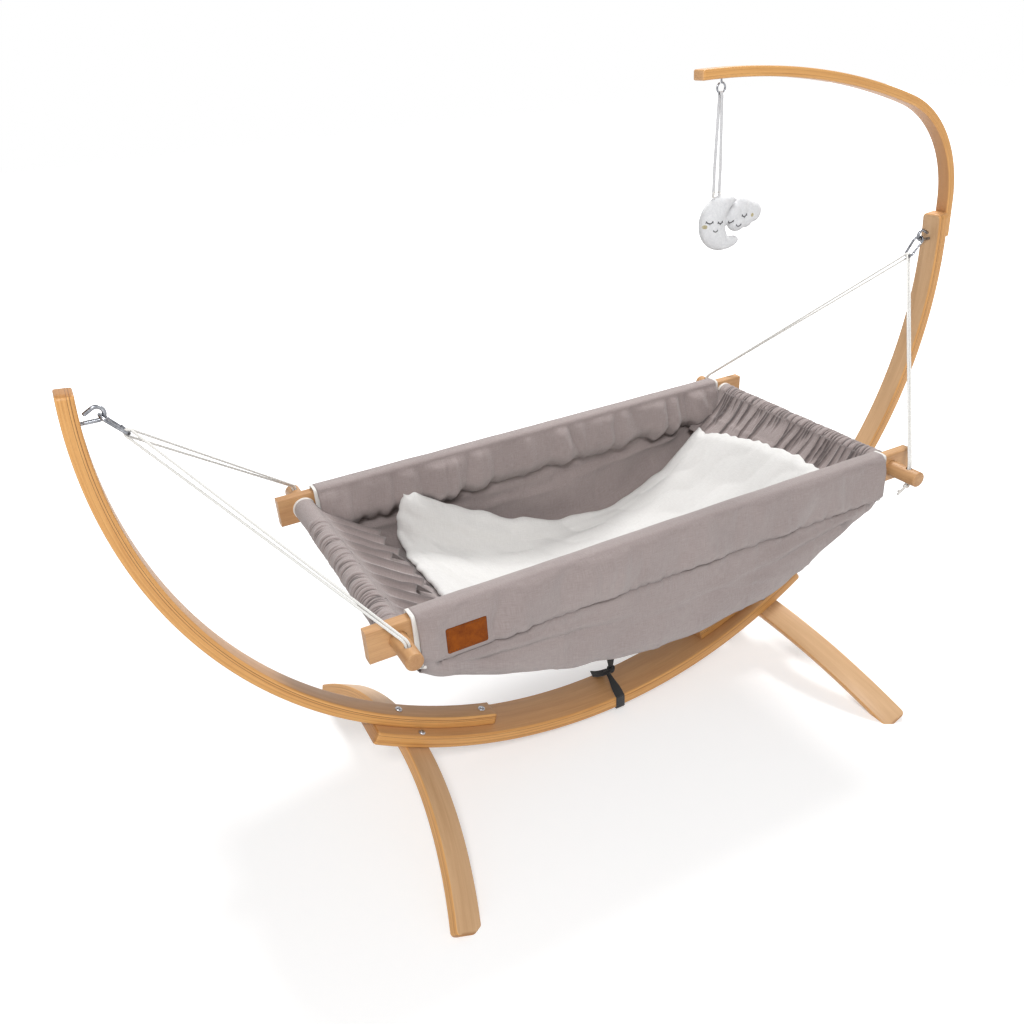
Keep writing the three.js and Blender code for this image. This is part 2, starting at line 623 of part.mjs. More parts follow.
function bedSection(x) {
  const half = [];
  for (let i = 0; i <= 6; i += 1) {
    const y = (flatY * i) / 6;
    half.push(new THREE.Vector2(y, bedZ(x, y)));
  }
  const start = half[6];
  const slope = (start.y - half[5].y) / (start.x - half[5].x);
  const knee = new THREE.Vector2(wallY, start.y + slope * sling.corner);
  const top = new THREE.Vector2(wallY, knee.y + sling.corner);
  const bend = new THREE.QuadraticBezierCurve(start, knee, top);
  half.push(...bend.getPoints(3).slice(1));
  half.push(new THREE.Vector2(wallY, rail.z));
  return [...half.slice(1).reverse().map((p) => new THREE.Vector2(-p.x, p.y)), ...half];
}

// Closed skin between two grids of points of the same size
function skin(outer, inner) {
  const rows = outer.length;
  const columns = outer[0].length;
  const layer = rows * columns;
  const at = (i, j) => i * columns + j;
  const index = [];
  const quad = (a, b, c, d) => index.push(a, b, c, a, c, d);
  for (let i = 0; i < rows - 1; i += 1) {
    for (let j = 0; j < columns - 1; j += 1) {
      quad(at(i, j), at(i + 1, j), at(i + 1, j + 1), at(i, j + 1));
      quad(layer + at(i, j), layer + at(i, j + 1), layer + at(i + 1, j + 1), layer + at(i + 1, j));
    }
    const edge = columns - 1;
    quad(at(i, 0), layer + at(i, 0), layer + at(i + 1, 0), at(i + 1, 0));
    quad(at(i, edge), at(i + 1, edge), layer + at(i + 1, edge), layer + at(i, edge));
  }
  for (let j = 0; j < columns - 1; j += 1) {
    const edge = rows - 1;
    quad(at(0, j), at(0, j + 1), layer + at(0, j + 1), layer + at(0, j));
    quad(at(edge, j), layer + at(edge, j), layer + at(edge, j + 1), at(edge, j + 1));
  }
  return meshOf([...outer.flat(), ...inner.flat()], index);
}

// Rings of equal length joined into a closed body with pointed or flat ends
function lofted(rings, first, last) {
  const sides = rings[0].length;
  const index = [];
  for (let i = 0; i < rings.length - 1; i += 1) {
    for (let k = 0; k < sides; k += 1) {
      const a = i * sides + k;
      const b = i * sides + ((k + 1) % sides);
      index.push(a, b, b + sides, a, b + sides, a + sides);
    }
  }
  const end = rings.length * sides;
  for (let k = 0; k < sides; k += 1) {
    const next = (k + 1) % sides;
    index.push(end, next, k, end + 1, end - sides + k, end - sides + next);
  }
  return meshOf([...rings.flat(), first, last], index);
}

// The same surface with its faces turned outwards
function outward(geometry) {
  const solid = toSolid(geometry);
  if (solid.volume() > 0) {
    return solid;
  }
  const index = Array.from(geometry.index.array);
  return toSolid(geometry.clone().setIndex(index.reverse()));
}

const bedStations = 20;
const under = [];
const upper = [];
for (let i = 0; i <= bedStations; i += 1) {
  const x = bedEndX * ((2 * i) / bedStations - 1);
  const section = bedSection(x);
  under.push(section.map((p) => vec(x, p.x, p.y)));
  upper.push(section.map((p, j) => {
    const before = section[Math.max(j - 1, 0)];
    const after = section[Math.min(j + 1, section.length - 1)];
    const tangent = after.clone().sub(before).normalize();
    const lean = Math.cos(Math.atan((bedZ(x + seatGap, 0) - bedZ(x - seatGap, 0)) / (2 * seatGap)));
    const up = sling.cloth * (1 + (1 / lean - 1) * Math.max(0, tangent.x));
    return vec(x, p.x - up * tangent.y, p.y + up * tangent.x);
  }));
}
let slingSolid = outward(skin(under, upper));

// Height of the bed's upper face on its facets
function floorAt(x, y) {
  const place = ((x / bedEndX + 1) * bedStations) / 2;
  const i = Math.min(Math.floor(place), bedStations - 1);
  const [here, next] = [upper[i], upper[i + 1]].map((row) => {
    const k = row.findIndex((p) => p.y >= y);
    const share = (y - row[k - 1].y) / (row[k].y - row[k - 1].y);
    return row[k - 1].z + share * (row[k].z - row[k - 1].z);
  });
  return here + (place - i) * (next - here);
}

// Past the channels' ends only the tongue between the rails goes on to the sleeve
const tongueY = rail.outerY - rail.thickness - clothGap - sling.cloth;
const notch = new THREE.BoxGeometry(rail.height, 2 * rail.thickness + 2 * cutOverrun, 4 * rail.height);
[-1, 1].forEach((sx) => [-1, 1].forEach((sy) => {
  const x = sx * (channelHalf + rail.height / 2);
  const y = sy * (tongueY + rail.thickness + cutOverrun);
  slingSolid = slingSolid.subtract(toSolid(notch, new THREE.Matrix4().makeTranslation(x, y, rail.z - rail.height)));
}));

// Channel over a rail, closed under it by a flap that runs down to the hem
function channelOutline(inset) {
  const outer = wallY - inset;
  const inner = tongueY + inset;
  const top = rail.z + rail.height / 2 + clothGap + sling.cloth - inset;
  const round = sling.shoulder - inset;
  const foot = rail.z - rail.height / 2 - clothGap;
  return [
    new THREE.Vector2(outer, sling.hemZ + inset),
    ...arcPoints(outer - round, top - round, round, 0, 90, 2),
    ...arcPoints(inner + round, top - round, round, 90, 180, 2),
    new THREE.Vector2(inner, foot),
    new THREE.Vector2(wallY - sling.cloth - sling.hemGap, sling.hemZ + inset),
  ];
}
function channelInside() {
  const outer = wallY - sling.cloth;
  const inner = tongueY + sling.cloth;
  const top = rail.z + rail.height / 2 + clothGap;
  const foot = rail.z - rail.height / 2 - clothGap;
  return [
    new THREE.Vector2(outer, sling.hemZ + 2 * sling.cloth),
    new THREE.Vector2(inner, foot),
    ...arcPoints(inner + rail.edge, top - rail.edge, rail.edge, 180, 90, 2),
    ...arcPoints(outer - rail.edge, top - rail.edge, rail.edge, 90, 0, 2),
  ];
}
const channel = toSolid(extruded(withHole(channelOutline(0), channelInside()), sling.channelLength), alongX);
slingSolid = slingSolid.add(channel).add(channel.mirror([0, 1, 0]));

// Piping round each end of the channels
const pipingRing = extruded(withHole(channelOutline(-piping.stand), channelInside()), piping.width);
const pipingX = channelHalf + seatGap + piping.width / 2;
const pipingSolid = toSolid(pipingRing, alongX.clone().setPosition(pipingX, 0, 0));

// Gathered sleeve: a ruched roll of cloth over the dowel
const rollHalf = rail.outerY - rail.thickness - clothGap;
const rollRings = 3 * Math.round((2 * rollHalf) / sleeve.pitch);
const roll = [];
for (let i = 0; i <= rollRings; i += 1) {
  const ring = [];
  for (let k = 0; k < 8; k += 1) {
    const turn = (k / 8) * Math.PI * 2;
    const ruche = sleeve.rucheDepth * Math.cos((i / 3) * Math.PI * 2 + Math.sin(2 * turn));
    const radius = sleeveInner + sleeve.cloth + ruche;
    const y = rollHalf * ((2 * i) / rollRings - 1);
    ring.push(vec(dowel.x + radius * Math.cos(turn), y, rail.z + radius * Math.sin(turn)));
  }
  roll.push(ring);
}
const rollSolid = outward(lofted(roll, vec(dowel.x, -rollHalf, rail.z), vec(dowel.x, rollHalf, rail.z)));

// Pleated flap from the sleeve into the bed: its pleats open towards the hem
const flapTop = vec(dowel.x - sleeveInner - sleeve.cloth / 2, 0, rail.z - sleeve.cloth);
const flapY = tongueY - piping.stand - clothGap;
const pleats = 2 * Math.round(flapY / flap.pleatPitch) + 1;
function flapGrid(lift) {
  const grid = [];
  for (let i = 0; i <= 2; i += 1) {
    const t = i / 2;
    const row = [];
    for (let j = 0; j <= 4 * pleats; j += 1) {
      const s = j / (2 * pleats) - 1;
      const pleat = flap.pleatDepth * Math.cos(pleats * Math.PI * s) * Math.sin(Math.PI * (t + 1) / 3);
      const x = flapTop.x - flap.length * t;
      const hung = flapTop.z + (flap.hemZ - flapTop.z) * t;
      row.push(vec(x, s * flapY, hung + pleat * t + lift));
    }
    grid.push(row);
  }
  return grid;
}
const dowelRoom = toSolid(rod(sleeveInner, 2 * rollHalf + 2 * cutOverrun, 12), dowelFrame);
const sleeveSolid = rollSolid.add(outward(skin(flapGrid(0), flapGrid(flap.cloth)))).subtract(dowelRoom);

[['left', leftEnd], ['right', rightEnd]].forEach(([side, end]) => {
  const [here, there] = side === 'right' ? ['near', 'far'] : ['far', 'near'];
  addMesh(end, `${side}_sleeve`, sleeveSolid, clothGrey, 0.95);
  addMesh(end, `${there}_${side}_piping`, pipingSolid, cordWhite, 0.9);
  addMesh(end, `${here}_${side}_piping`, pipingSolid.mirror([0, 1, 0]), cordWhite, 0.9);
});
addMesh(cradle, 'sling', slingSolid, clothGrey, 0.95);

// Label on the near wall at the foot end
const labelFrame = new THREE.Matrix4().makeBasis(vec(1, 0, 0), vec(0, 0, 1), vec(0, -1, 0));
labelFrame.setPosition(
  label.width / 2 - label.left, -wallY - seatGap - label.thickness / 2, label.top - label.height / 2,
);
const labelPlate = extruded(drawn(roundedRect(label.width, label.height, label.corner, 2)), label.thickness);
addMesh(cradle, 'label', labelPlate, 0x96500f, 0.6, 0, labelFrame);

// Mat: flat below, crowned and channelled above
const matUnder = [];
const matUpper = [];
const matRows = 28;
for (let i = 0; i <= matRows; i += 1) {
  const u = (2 * i) / matRows - 1;
  const low = [];
  const high = [];
  for (let j = 0; j <= 6; j += 1) {
    const v = j / 3 - 1;
    const x = mat.x + (mat.length / 2) * u * (1 - 0.04 * v * v);
    const y = (mat.width / 2) * v * (1 - 0.05 * u * u);
    const floor = floorAt(x, y) + mat.lift;
    const rim = Math.min(1, (1 - Math.abs(u)) * 8, (1 - Math.abs(v)) * 3) ** 0.5;
    const groove = mat.groove * Math.abs(Math.cos((Math.PI * x) / mat.groovePitch)) ** 6;
    const crown = mat.crown * (1 - u * u) * (1 - v * v);
    low.push(vec(x, y, floor));
    high.push(vec(x, y, floor + mat.edge + rim * (mat.thickness - mat.edge + crown - groove)));
  }
  matUnder.push(low);
  matUpper.push(high);
}
addMesh(cradle, 'mat', outward(skin(matUnder, matUpper)), 0xe8e8e6, 0.95);

// Strap loop: flat under the base, up its sides and drawn together below the knot
const bowUnder = onBow(0, bow.radius + bow.thickness).z;
const bowTop = onBow(0, bow.radius).z;
function loopOutline(out) {
  const side = bow.width / 2 + clothGap + out;
  const peak = strap.knotZ - strap.knotRadius - seatGap - strap.thickness + out;
  return [
    new THREE.Vector2(-side, bowUnder - clothGap - out),
    new THREE.Vector2(side, bowUnder - clothGap - out),
    new THREE.Vector2(side, bowTop + clothGap + out / 2),
    new THREE.Vector2(strap.thickness + out, peak),
    new THREE.Vector2(-strap.thickness - out, peak),
    new THREE.Vector2(-side, bowTop + clothGap + out / 2),
  ];
}
const loopBody = extruded(withHole(loopOutline(strap.thickness), loopOutline(0)), strap.width);
addMesh(cradle, 'strap_loop', toSolid(loopBody, alongX.clone().setPosition(strap.x, 0, 0)), webBlack, 0.9);

// Strap drop: from the bed to the knot over the loop, with the two tails
const webSection = roundedRect(strap.thickness, strap.width, strap.thickness / 3, 1);
const knotAt = vec(strap.knotX, 0, strap.knotZ);
const dropTop = vec(strap.knotX, 0, bedZ(strap.knotX, 0) - seatGap);
const tailWidthShare = 0.7;
const tailSection = webSection.map((p) => new THREE.Vector2(p.x, p.y * tailWidthShare));
function tail(length, rise, parting) {
  return toSolid(swept(tailSection, [
    knotAt,
    knotAt.clone().add(vec(-length / 2, parting / 2, -rise / 4)),
    knotAt.clone().add(vec(-length, parting, rise)),
  ]));
}
let dropSolid = toSolid(swept(webSection, [dropTop, dropTop.clone().lerp(knotAt, 0.5), knotAt]));
dropSolid = dropSolid.add(toSolid(
  new THREE.IcosahedronGeometry(strap.knotRadius, 1), new THREE.Matrix4().makeTranslation(...knotAt),
));
dropSolid = dropSolid.add(tail(strapTail.length, strapTail.rise, -strapTail.parting));
dropSolid = dropSolid.add(tail(strapTail.second, -strapTail.rise / 2, strapTail.parting));
addMesh(cradle, 'strap_drop', dropSolid, webBlack, 0.9);

// Ribbon: one band over the eye's lower wire, both ends down to the moon
const ringRise = eye.radius - Math.sqrt(eye.radius ** 2 - (ribbon.width / 2) ** 2);
const wireTop = eyeCentre.z - eye.radius + ringRise;
const turnRadius = eye.wire + seatGap + ribbon.thickness / 2;
const ribbonLow = wireTop - ribbon.drop;
const ribbonRoute = [
  vec(eyeX, ribbon.spread, ribbonLow),
  vec(eyeX, ribbon.spread, (ribbonLow + wireTop) / 2),
  ...arcPoints(0, wireTop, turnRadius, 0, 180, 6).map((p) => vec(eyeX, p.x, p.y)),
  vec(eyeX, -ribbon.spread, (ribbonLow + wireTop) / 2),
  vec(eyeX, -ribbon.spread, ribbonLow),
];
const ribbonSection = roundedRect(ribbon.thickness, ribbon.width, ribbon.thickness / 3, 1);
addMesh(cradle, 'ribbon', swept(ribbonSection, ribbonRoute), 0xd9d9da, 0.8);

// Moon: oval sections strung between its outer arc and its bite, thickest in the middle
const moonX = eyeX + moon.right;
const moonZ = ribbonLow - seatGap - Math.sqrt(moon.radius ** 2 - moon.right ** 2);
function moonSolid(grow) {
  const outside = arcPoints(moonX, moonZ, moon.radius + grow, 62, 316, 14);
  const bite = arcPoints(moonX + moon.biteX, moonZ, moon.bite - grow, 112, 243, 14);
  const rings = outside.map((p, i) => {
    const middle = p.clone().add(bite[i]).divideScalar(2);
    const half = p.clone().sub(middle);
    const deep = (moon.depth + grow) * Math.min(1, Math.sqrt(half.length() / (moon.radius / 2)));
    return arcPoints(0, 0, 1, 0, 330, 11).map((q) => (
      vec(middle.x + half.x * q.x, -moon.forward + deep * q.y, middle.y + half.y * q.x)
    ));
  });
  const tipOf = (i) => vec((outside[i].x + bite[i].x) / 2, -moon.forward, (outside[i].y + bite[i].y) / 2);
  return outward(lofted(rings, tipOf(0), tipOf(14)));
}
addMesh(cradle, 'moon', moonSolid(0), 0xdcdcdc, 0.95);

// Cloud: a cluster of flattened lobes behind the moon, hollowed where the moon leans on it
let cloudSolid = null;
cloudShares.forEach(([across, up, size]) => {
  const ball = new THREE.SphereGeometry(cloud.lobe * size, 10, 6);
  ball.scale(1, cloud.depth / cloud.lobe, 1);
  const lobe = toSolid(ball, new THREE.Matrix4().makeTranslation(
    eyeX + cloud.right + (across * cloud.width) / 2, cloud.back, moonZ + cloud.up + (up * cloud.height) / 2,
  ));
  cloudSolid = cloudSolid ? cloudSolid.add(lobe) : lobe;
});
addMesh(cradle, 'cloud', cloudSolid.subtract(moonSolid(seatGap)), 0xdcdcdc, 0.95);

export default cradle;
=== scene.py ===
# Hanging baby cradle: the looks of the bent-wood stand, the cloth bed and the padded toy.
# Metres, +Z up, +X towards the head end, -Y towards the viewer.
import math
import random

import bmesh
import bpy
from mathutils import Matrix, Vector, noise
from mathutils.bvhtree import BVHTree


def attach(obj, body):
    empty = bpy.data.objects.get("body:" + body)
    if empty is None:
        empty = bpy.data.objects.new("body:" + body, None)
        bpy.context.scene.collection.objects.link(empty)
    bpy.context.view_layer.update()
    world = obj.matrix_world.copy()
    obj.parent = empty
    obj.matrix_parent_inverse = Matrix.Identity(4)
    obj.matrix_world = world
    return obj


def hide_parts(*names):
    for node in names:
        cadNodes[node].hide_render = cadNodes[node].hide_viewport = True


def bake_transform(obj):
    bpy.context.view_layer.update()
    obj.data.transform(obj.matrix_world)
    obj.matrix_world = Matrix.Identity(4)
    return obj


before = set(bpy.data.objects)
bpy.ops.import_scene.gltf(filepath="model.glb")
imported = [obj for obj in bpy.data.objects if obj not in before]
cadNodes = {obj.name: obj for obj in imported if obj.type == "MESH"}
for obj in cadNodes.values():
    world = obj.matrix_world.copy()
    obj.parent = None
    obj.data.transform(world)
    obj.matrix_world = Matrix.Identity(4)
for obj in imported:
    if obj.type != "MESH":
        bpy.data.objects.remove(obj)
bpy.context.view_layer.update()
scene = bpy.context.scene
print("frame loaded:", len(cadNodes), "nodes")

# Camera, at the height and lean of the photograph
shot = {"place": (-0.78015, -1.25251, 1.27635), "yaw": 0.452066, "pitch": 0.499804, "roll": 0.069401,
        "lens": 31.61}


def aimCamera(shot):
    yaw, pitch, roll = shot["yaw"], shot["pitch"], shot["roll"]
    ahead = Vector((math.sin(yaw) * math.cos(pitch), math.cos(yaw) * math.cos(pitch), -math.sin(pitch)))
    level = Vector((math.cos(yaw), -math.sin(yaw), 0))
    down = ahead.cross(level)
    right = math.cos(roll) * level + math.sin(roll) * down
    below = -math.sin(roll) * level + math.cos(roll) * down
    data = bpy.data.cameras.new("camera")
    data.sensor_width = 36
    data.lens = shot["lens"]
    data.clip_start = 0.01
    data.clip_end = 60
    camera = bpy.data.objects.new("camera", data)
    scene.collection.objects.link(camera)
    turn = Matrix((right, -below, -ahead)).transposed().to_4x4()
    camera.matrix_world = Matrix.Translation(Vector(shot["place"])) @ turn
    scene.camera = camera


aimCamera(shot)


# Helpers for meshes
def arcXZ(centre, radius, startDeg, endDeg, steps):
    points = []
    for i in range(steps + 1):
        turn = math.radians(startDeg + (endDeg - startDeg) * i / steps)
        points.append(Vector((centre[0] + radius * math.cos(turn), 0, centre[1] + radius * math.sin(turn))))
    return points


def frameAt(origin, axis, side):
    z = axis.normalized()
    x = (side - z * side.dot(z)).normalized()
    y = z.cross(x)
    return Matrix.Translation(origin) @ Matrix((x, y, z)).transposed().to_4x4()


def evenly(route, step):  # the same route with points about a step apart
    out = [route[0].copy()]
    for a, b in zip(route, route[1:]):
        count = max(1, round((b - a).length / step))
        for i in range(1, count + 1):
            out.append(a.lerp(b, i / count))
    return out


def curved(a, knee, b, steps):  # from a to b, drawn towards a knee
    return [a.lerp(knee, i / steps).lerp(knee.lerp(b, i / steps), i / steps) for i in range(steps + 1)]


def softened(route, rounds):  # a route with its kinks eased, its ends kept
    for _ in range(rounds):
        route = [route[0]] + [
            (route[i - 1] + 2 * route[i] + route[i + 1]) / 4 for i in range(1, len(route) - 1)
        ] + [route[-1]]
    return route


def routeLength(route):
    return sum((b - a).length for a, b in zip(route, route[1:]))


def carriedFrames(route, side):  # frames along a route that don't twist
    frames = []
    x = side
    for i, point in enumerate(route):
        ahead = (route[min(i + 1, len(route) - 1)] - route[max(i - 1, 0)]).normalized()
        x = (x - ahead * x.dot(ahead)).normalized()
        frames.append((point, x, ahead.cross(x)))
    return frames


# A grid laid out by place(u, v), u and v from 0 to 1, its flat lay kept as a UV map in metres
def mapGrid(bm, across, along, place, size=(1, 1), creaseShadeOf=None):  # the last argument: how deep in a crease, 0 to 1, kept as a mask for painted shade in creases
    creaseShade = bm.verts.layers.float.new("creaseShade") if creaseShadeOf else None
    made = bmesh.ops.create_grid(bm, x_segments=across, y_segments=along, size=0.5)
    flat = bm.loops.layers.uv.get("flat") or bm.loops.layers.uv.new("flat")
    verts = made["verts"]
    for face in {f for v in verts for f in v.link_faces}:
        for loop in face.loops:
            co = loop.vert.co
            loop[flat].uv = ((co.x + 0.5) * size[0], (co.y + 0.5) * size[1])
    for v in verts:
        if creaseShadeOf:
            v[creaseShade] = creaseShadeOf(v.co.x + 0.5, v.co.y + 0.5)
        v.co = place(v.co.x + 0.5, v.co.y + 0.5)
    return verts


def closeEnds(bm, verts, capped=True):  # welds a rolled-up grid and caps its open ends
    bmesh.ops.remove_doubles(bm, verts=verts, dist=1e-7)
    rim = [e for v in verts if v.is_valid for e in v.link_edges if e.is_boundary]
    if capped:
        bmesh.ops.holes_fill(bm, edges=list(set(rim)), sides=0)


def turned(outline, steps):  # an outline of radii and heights spun round Z
    bm = bmesh.new()
    verts = [bm.verts.new((x, 0, z)) for x, z in outline]
    edges = [bm.edges.new(pair) for pair in zip(verts, verts[1:])]
    bmesh.ops.spin(bm, geom=verts + edges, cent=(0, 0, 0), axis=(0, 0, 1), angle=2 * math.pi, steps=steps,
                   use_merge=True, use_duplicate=False)
    bmesh.ops.remove_doubles(bm, verts=bm.verts, dist=1e-7)
    return bm


def raised(bm, height):  # extrudes every face upwards and gives the new points
    lifted = bmesh.ops.extrude_face_region(bm, geom=bm.faces[:])
    verts = [g for g in lifted["geom"] if isinstance(g, bmesh.types.BMVert)]
    bmesh.ops.translate(bm, vec=(0, 0, height), verts=verts)
    return verts


def rounded(bm, geom, offset, segments, affect="EDGES"):
    bmesh.ops.bevel(bm, geom=geom, offset=offset, offset_type="OFFSET", segments=segments, profile=0.5,
                    affect=affect, material=-1)


# A round tube along a route, its radius a number or a function of the share along it
def drawTube(bm, route, radius, sides, side=Vector((0, 1, 0)), capped=True, twist=None):
    frames = carriedFrames(route, side)
    n = len(route) - 1
    long = routeLength(route)
    around = 2 * math.pi * (radius if not callable(radius) else radius(0.5))

    def place(u, v):
        i = round(u * n)
        point, x, y = frames[i]
        turn = 2 * math.pi * v
        r = radius(u) if callable(radius) else radius
        if twist:
            wound = twist["strands"] * turn + 2 * math.pi * u * long / twist["pitch"]
            r *= 1 + twist["depth"] * math.cos(wound)
        return point + r * (math.cos(turn) * x + math.sin(turn) * y)

    closeEnds(bm, mapGrid(bm, n, sides, place, (long, around)), capped)


def drawBand(bm, route, width, thickness, side, widths=None):  # a flat band, its width along side
    frames = carriedFrames(route, side)
    n = len(route) - 1
    long = routeLength(route)
    half = [(0.5, -0.35), (0.5, 0.35), (0.46, 0.5), (-0.46, 0.5)]
    section = half + [(-a, -b) for a, b in half] + half[:1]

    def place(u, v):
        point, x, y = frames[round(u * n)]
        a, b = section[round(v * 8)]
        w = width * (widths(u) if widths else 1)
        return point + x * (a * w) + y * (b * thickness)

    closeEnds(bm, mapGrid(bm, n, 8, place, (long, 2 * width)))


def toMesh(name, bm, outward=True):
    if outward:
        bmesh.ops.recalc_face_normals(bm, faces=bm.faces)
    mesh = bpy.data.meshes.new(name)
    bm.to_mesh(mesh)
    bm.free()
    return mesh


def addPiece(name, mesh, material, body=None, nodes=(), sharpDeg=38, layers=()):
    piece = bpy.data.objects.new(name, mesh)
    scene.collection.objects.link(piece)
    mesh.materials.append(material)
    mesh.shade_smooth()
    mesh.set_sharp_from_angle(angle=math.radians(sharpDeg))
    for kind, settings in layers:
        modifier = piece.modifiers.new(kind.lower(), kind)
        for key, value in settings.items():
            setattr(modifier, key, value)
    if body:
        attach(piece, body)
    if nodes:
        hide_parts(*nodes)
    return piece


def ridged(x, y, z):  # rounded lobes with sharp creases between them, 0 to about 1
    return min(1, 2.2 * abs(noise.noise(Vector((x, y, z)))))


def wavy(x, y, z):
    return noise.noise(Vector((x, y, z)))


def easeBetween(low, high, value):
    share = max(0, min(1, (value - low) / (high - low)))
    return share * share * (3 - 2 * share)


# Helpers for materials
def tone(r, g, b):
    return tuple((c / 255 / 12.92 if c <= 10 else ((c / 255 + 0.055) / 1.055) ** 2.4)
                 for c in (r, g, b)) + (1,)


def newGroup(name, inputs, outputs):
    group = bpy.data.node_groups.new(name, "ShaderNodeTree")
    kinds = {"f": "NodeSocketFloat", "c": "NodeSocketColor", "v": "NodeSocketVector"}
    for label, kind, value in inputs:
        socket = group.interface.new_socket(label, in_out="INPUT", socket_type=kinds[kind])
        if value is not None:
            socket.default_value = value
    for label, kind in outputs:
        group.interface.new_socket(label, in_out="OUTPUT", socket_type=kinds[kind])
    return group, group.nodes.new("NodeGroupInput"), group.nodes.new("NodeGroupOutput")


def plug(tree, node, **values):  # links or sets sockets, i0 for the first and Base_Color for Base Color
    for key, value in values.items():
        slot = int(key[1:]) if key[0] == "i" and key[1:].isdigit() else key.replace("_", " ")
        if hasattr(value, "is_linked") and hasattr(value, "links"):
            tree.links.new(value, node.inputs[slot])
        else:
            node.inputs[slot].default_value = value


def addNode(tree, kind, settings=None, **values):
    node = tree.nodes.new(kind)
    for key, value in (settings or {}).items():
        setattr(node, key, value)
    plug(tree, node, **values)
    return node


def noiseOf(tree, place, scale, detail=3, roughness=0.5, distortion=0):
    return addNode(tree, "ShaderNodeTexNoise", Vector=place, Scale=scale, Detail=detail, Roughness=roughness,
                   Distortion=distortion).outputs["Fac"]


def spread(tree, value, low, high, toLow=0, toHigh=1):
    return addNode(tree, "ShaderNodeMapRange", i0=value, i1=low, i2=high, i3=toLow, i4=toHigh).outputs[0]


def sum2(tree, a, b, operation="ADD"):
    return addNode(tree, "ShaderNodeMath", {"operation": operation}, i0=a, i1=b).outputs[0]


def mathOf(tree, operation, value):
    return addNode(tree, "ShaderNodeMath", {"operation": operation}, i0=value).outputs[0]


def seenRays(tree):  # 1 for rays of the camera, its reflections and what it sees through, 0 for light
    path = tree.nodes.new("ShaderNodeLightPath")
    seen = sum2(tree, path.outputs["Is Camera Ray"], path.outputs["Is Glossy Ray"], "MAXIMUM")
    return sum2(tree, seen, path.outputs["Is Transmission Ray"], "MAXIMUM")


def mixOf(tree, share, a, b, blend="MIX"):
    node = addNode(tree, "ShaderNodeMix", {"data_type": "RGBA", "blend_type": blend}, i0=share, i6=a, i7=b)
    return node.outputs[2]


def stretched(tree, place, scale, turn=(0, 0, 0)):
    node = addNode(tree, "ShaderNodeMapping", {"vector_type": "POINT"}, Vector=place)
    node.inputs["Scale"].default_value = scale
    node.inputs["Rotation"].default_value = turn
    return node.outputs["Vector"]


# Wood: long grain along the first coordinate, pores, and slow changes of colour
def makeGrainGroup():
    group, come, go = newGroup("beechGrain", [
        ("Place", "v", None), ("Pale", "c", (1, 1, 1, 1)), ("Dark", "c", (0, 0, 0, 1)), ("Streak", "f", 1.0),
    ], [("Color", "c"), ("Roughness", "f"), ("Height", "f")])
    place = come.outputs["Place"]
    slow = noiseOf(group, stretched(group, place, (1.6, 9, 9)), 1.0, 3, 0.55, 0.6)
    figure = noiseOf(group, stretched(group, place, (3.2, 46, 46)), 1.0, 4, 0.6, 0.9)
    fine = noiseOf(group, stretched(group, place, (14, 420, 420)), 1.0, 4, 0.65, 0)
    fleck = noiseOf(group, stretched(group, place, (150, 1100, 1100)), 1.0, 2, 0.5, 0)
    flecks = spread(group, fleck, 0.6, 0.75)
    share = sum2(group, spread(group, figure, 0.3, 0.72, 0, 0.62), spread(group, fine, 0.3, 0.75, 0, 0.38))
    share = sum2(group, share, spread(group, slow, 0.3, 0.7, -0.25, 0.25))
    share = sum2(group, share, come.outputs["Streak"], "MULTIPLY")
    base = mixOf(group, share, come.outputs["Pale"], come.outputs["Dark"])
    darker = mixOf(group, sum2(group, flecks, 0.3, "MULTIPLY"), base, come.outputs["Dark"])
    height = sum2(group, sum2(group, fine, 0.7, "MULTIPLY"), sum2(group, flecks, -0.5, "MULTIPLY"))
    plug(group, go, Color=darker, Roughness=spread(group, fine, 0.2, 0.8, 0.4, 0.58), Height=height)
    return group


# Cloth: crossing threads at a pitch, with slubs and a soft change of shade
def makeWeaveGroup():
    group, come, go = newGroup("plainWeave", [
        ("Place", "v", None), ("Thread", "c", (1, 1, 1, 1)), ("Gap", "c", (0, 0, 0, 1)),
        ("Threads", "f", 900.0),
    ], [("Color", "c"), ("Roughness", "f"), ("Height", "f")])
    place = come.outputs["Place"]
    fullTurn = 6.2832
    scaled = addNode(group, "ShaderNodeVectorMath", {"operation": "SCALE"}, i0=place,
                     Scale=come.outputs["Threads"])
    parts = addNode(group, "ShaderNodeSeparateXYZ", Vector=scaled.outputs[0])
    warp = mathOf(group, "SINE", sum2(group, parts.outputs["X"], fullTurn, "MULTIPLY"))
    weft = mathOf(group, "SINE", sum2(group, parts.outputs["Y"], fullTurn, "MULTIPLY"))
    knit = spread(group, sum2(group, warp, weft, "MULTIPLY"), -1, 1)
    slubX = noiseOf(group, stretched(group, place, (70, 900, 1)), 1.0, 3, 0.6)
    slubY = noiseOf(group, stretched(group, place, (900, 70, 1)), 1.0, 3, 0.6)
    slow = noiseOf(group, place, 7.0, 3, 0.5)
    slubs = sum2(group, slubX, slubY)
    share = sum2(group, spread(group, slubs, 0.7, 1.3, 0.15, 0.6), spread(group, slow, 0.3, 0.7, -0.1, 0.1))
    share = sum2(group, share, sum2(group, knit, 0.22, "MULTIPLY"))
    plug(group, go, Color=mixOf(group, share, come.outputs["Gap"], come.outputs["Thread"]),
         Roughness=spread(group, slubs, 0.6, 1.4, 0.96, 0.82))
    plug(group, go,
         Height=sum2(group, sum2(group, knit, 0.6, "MULTIPLY"), sum2(group, slubs, 0.5, "MULTIPLY")))
    return group


beechGrain = makeGrainGroup()
plainWeave = makeWeaveGroup()


def newMaterial(name):
    material = bpy.data.materials.new(name)
    material.use_nodes = True
    tree = material.node_tree
    return material, tree, tree.nodes["Principled BSDF"]


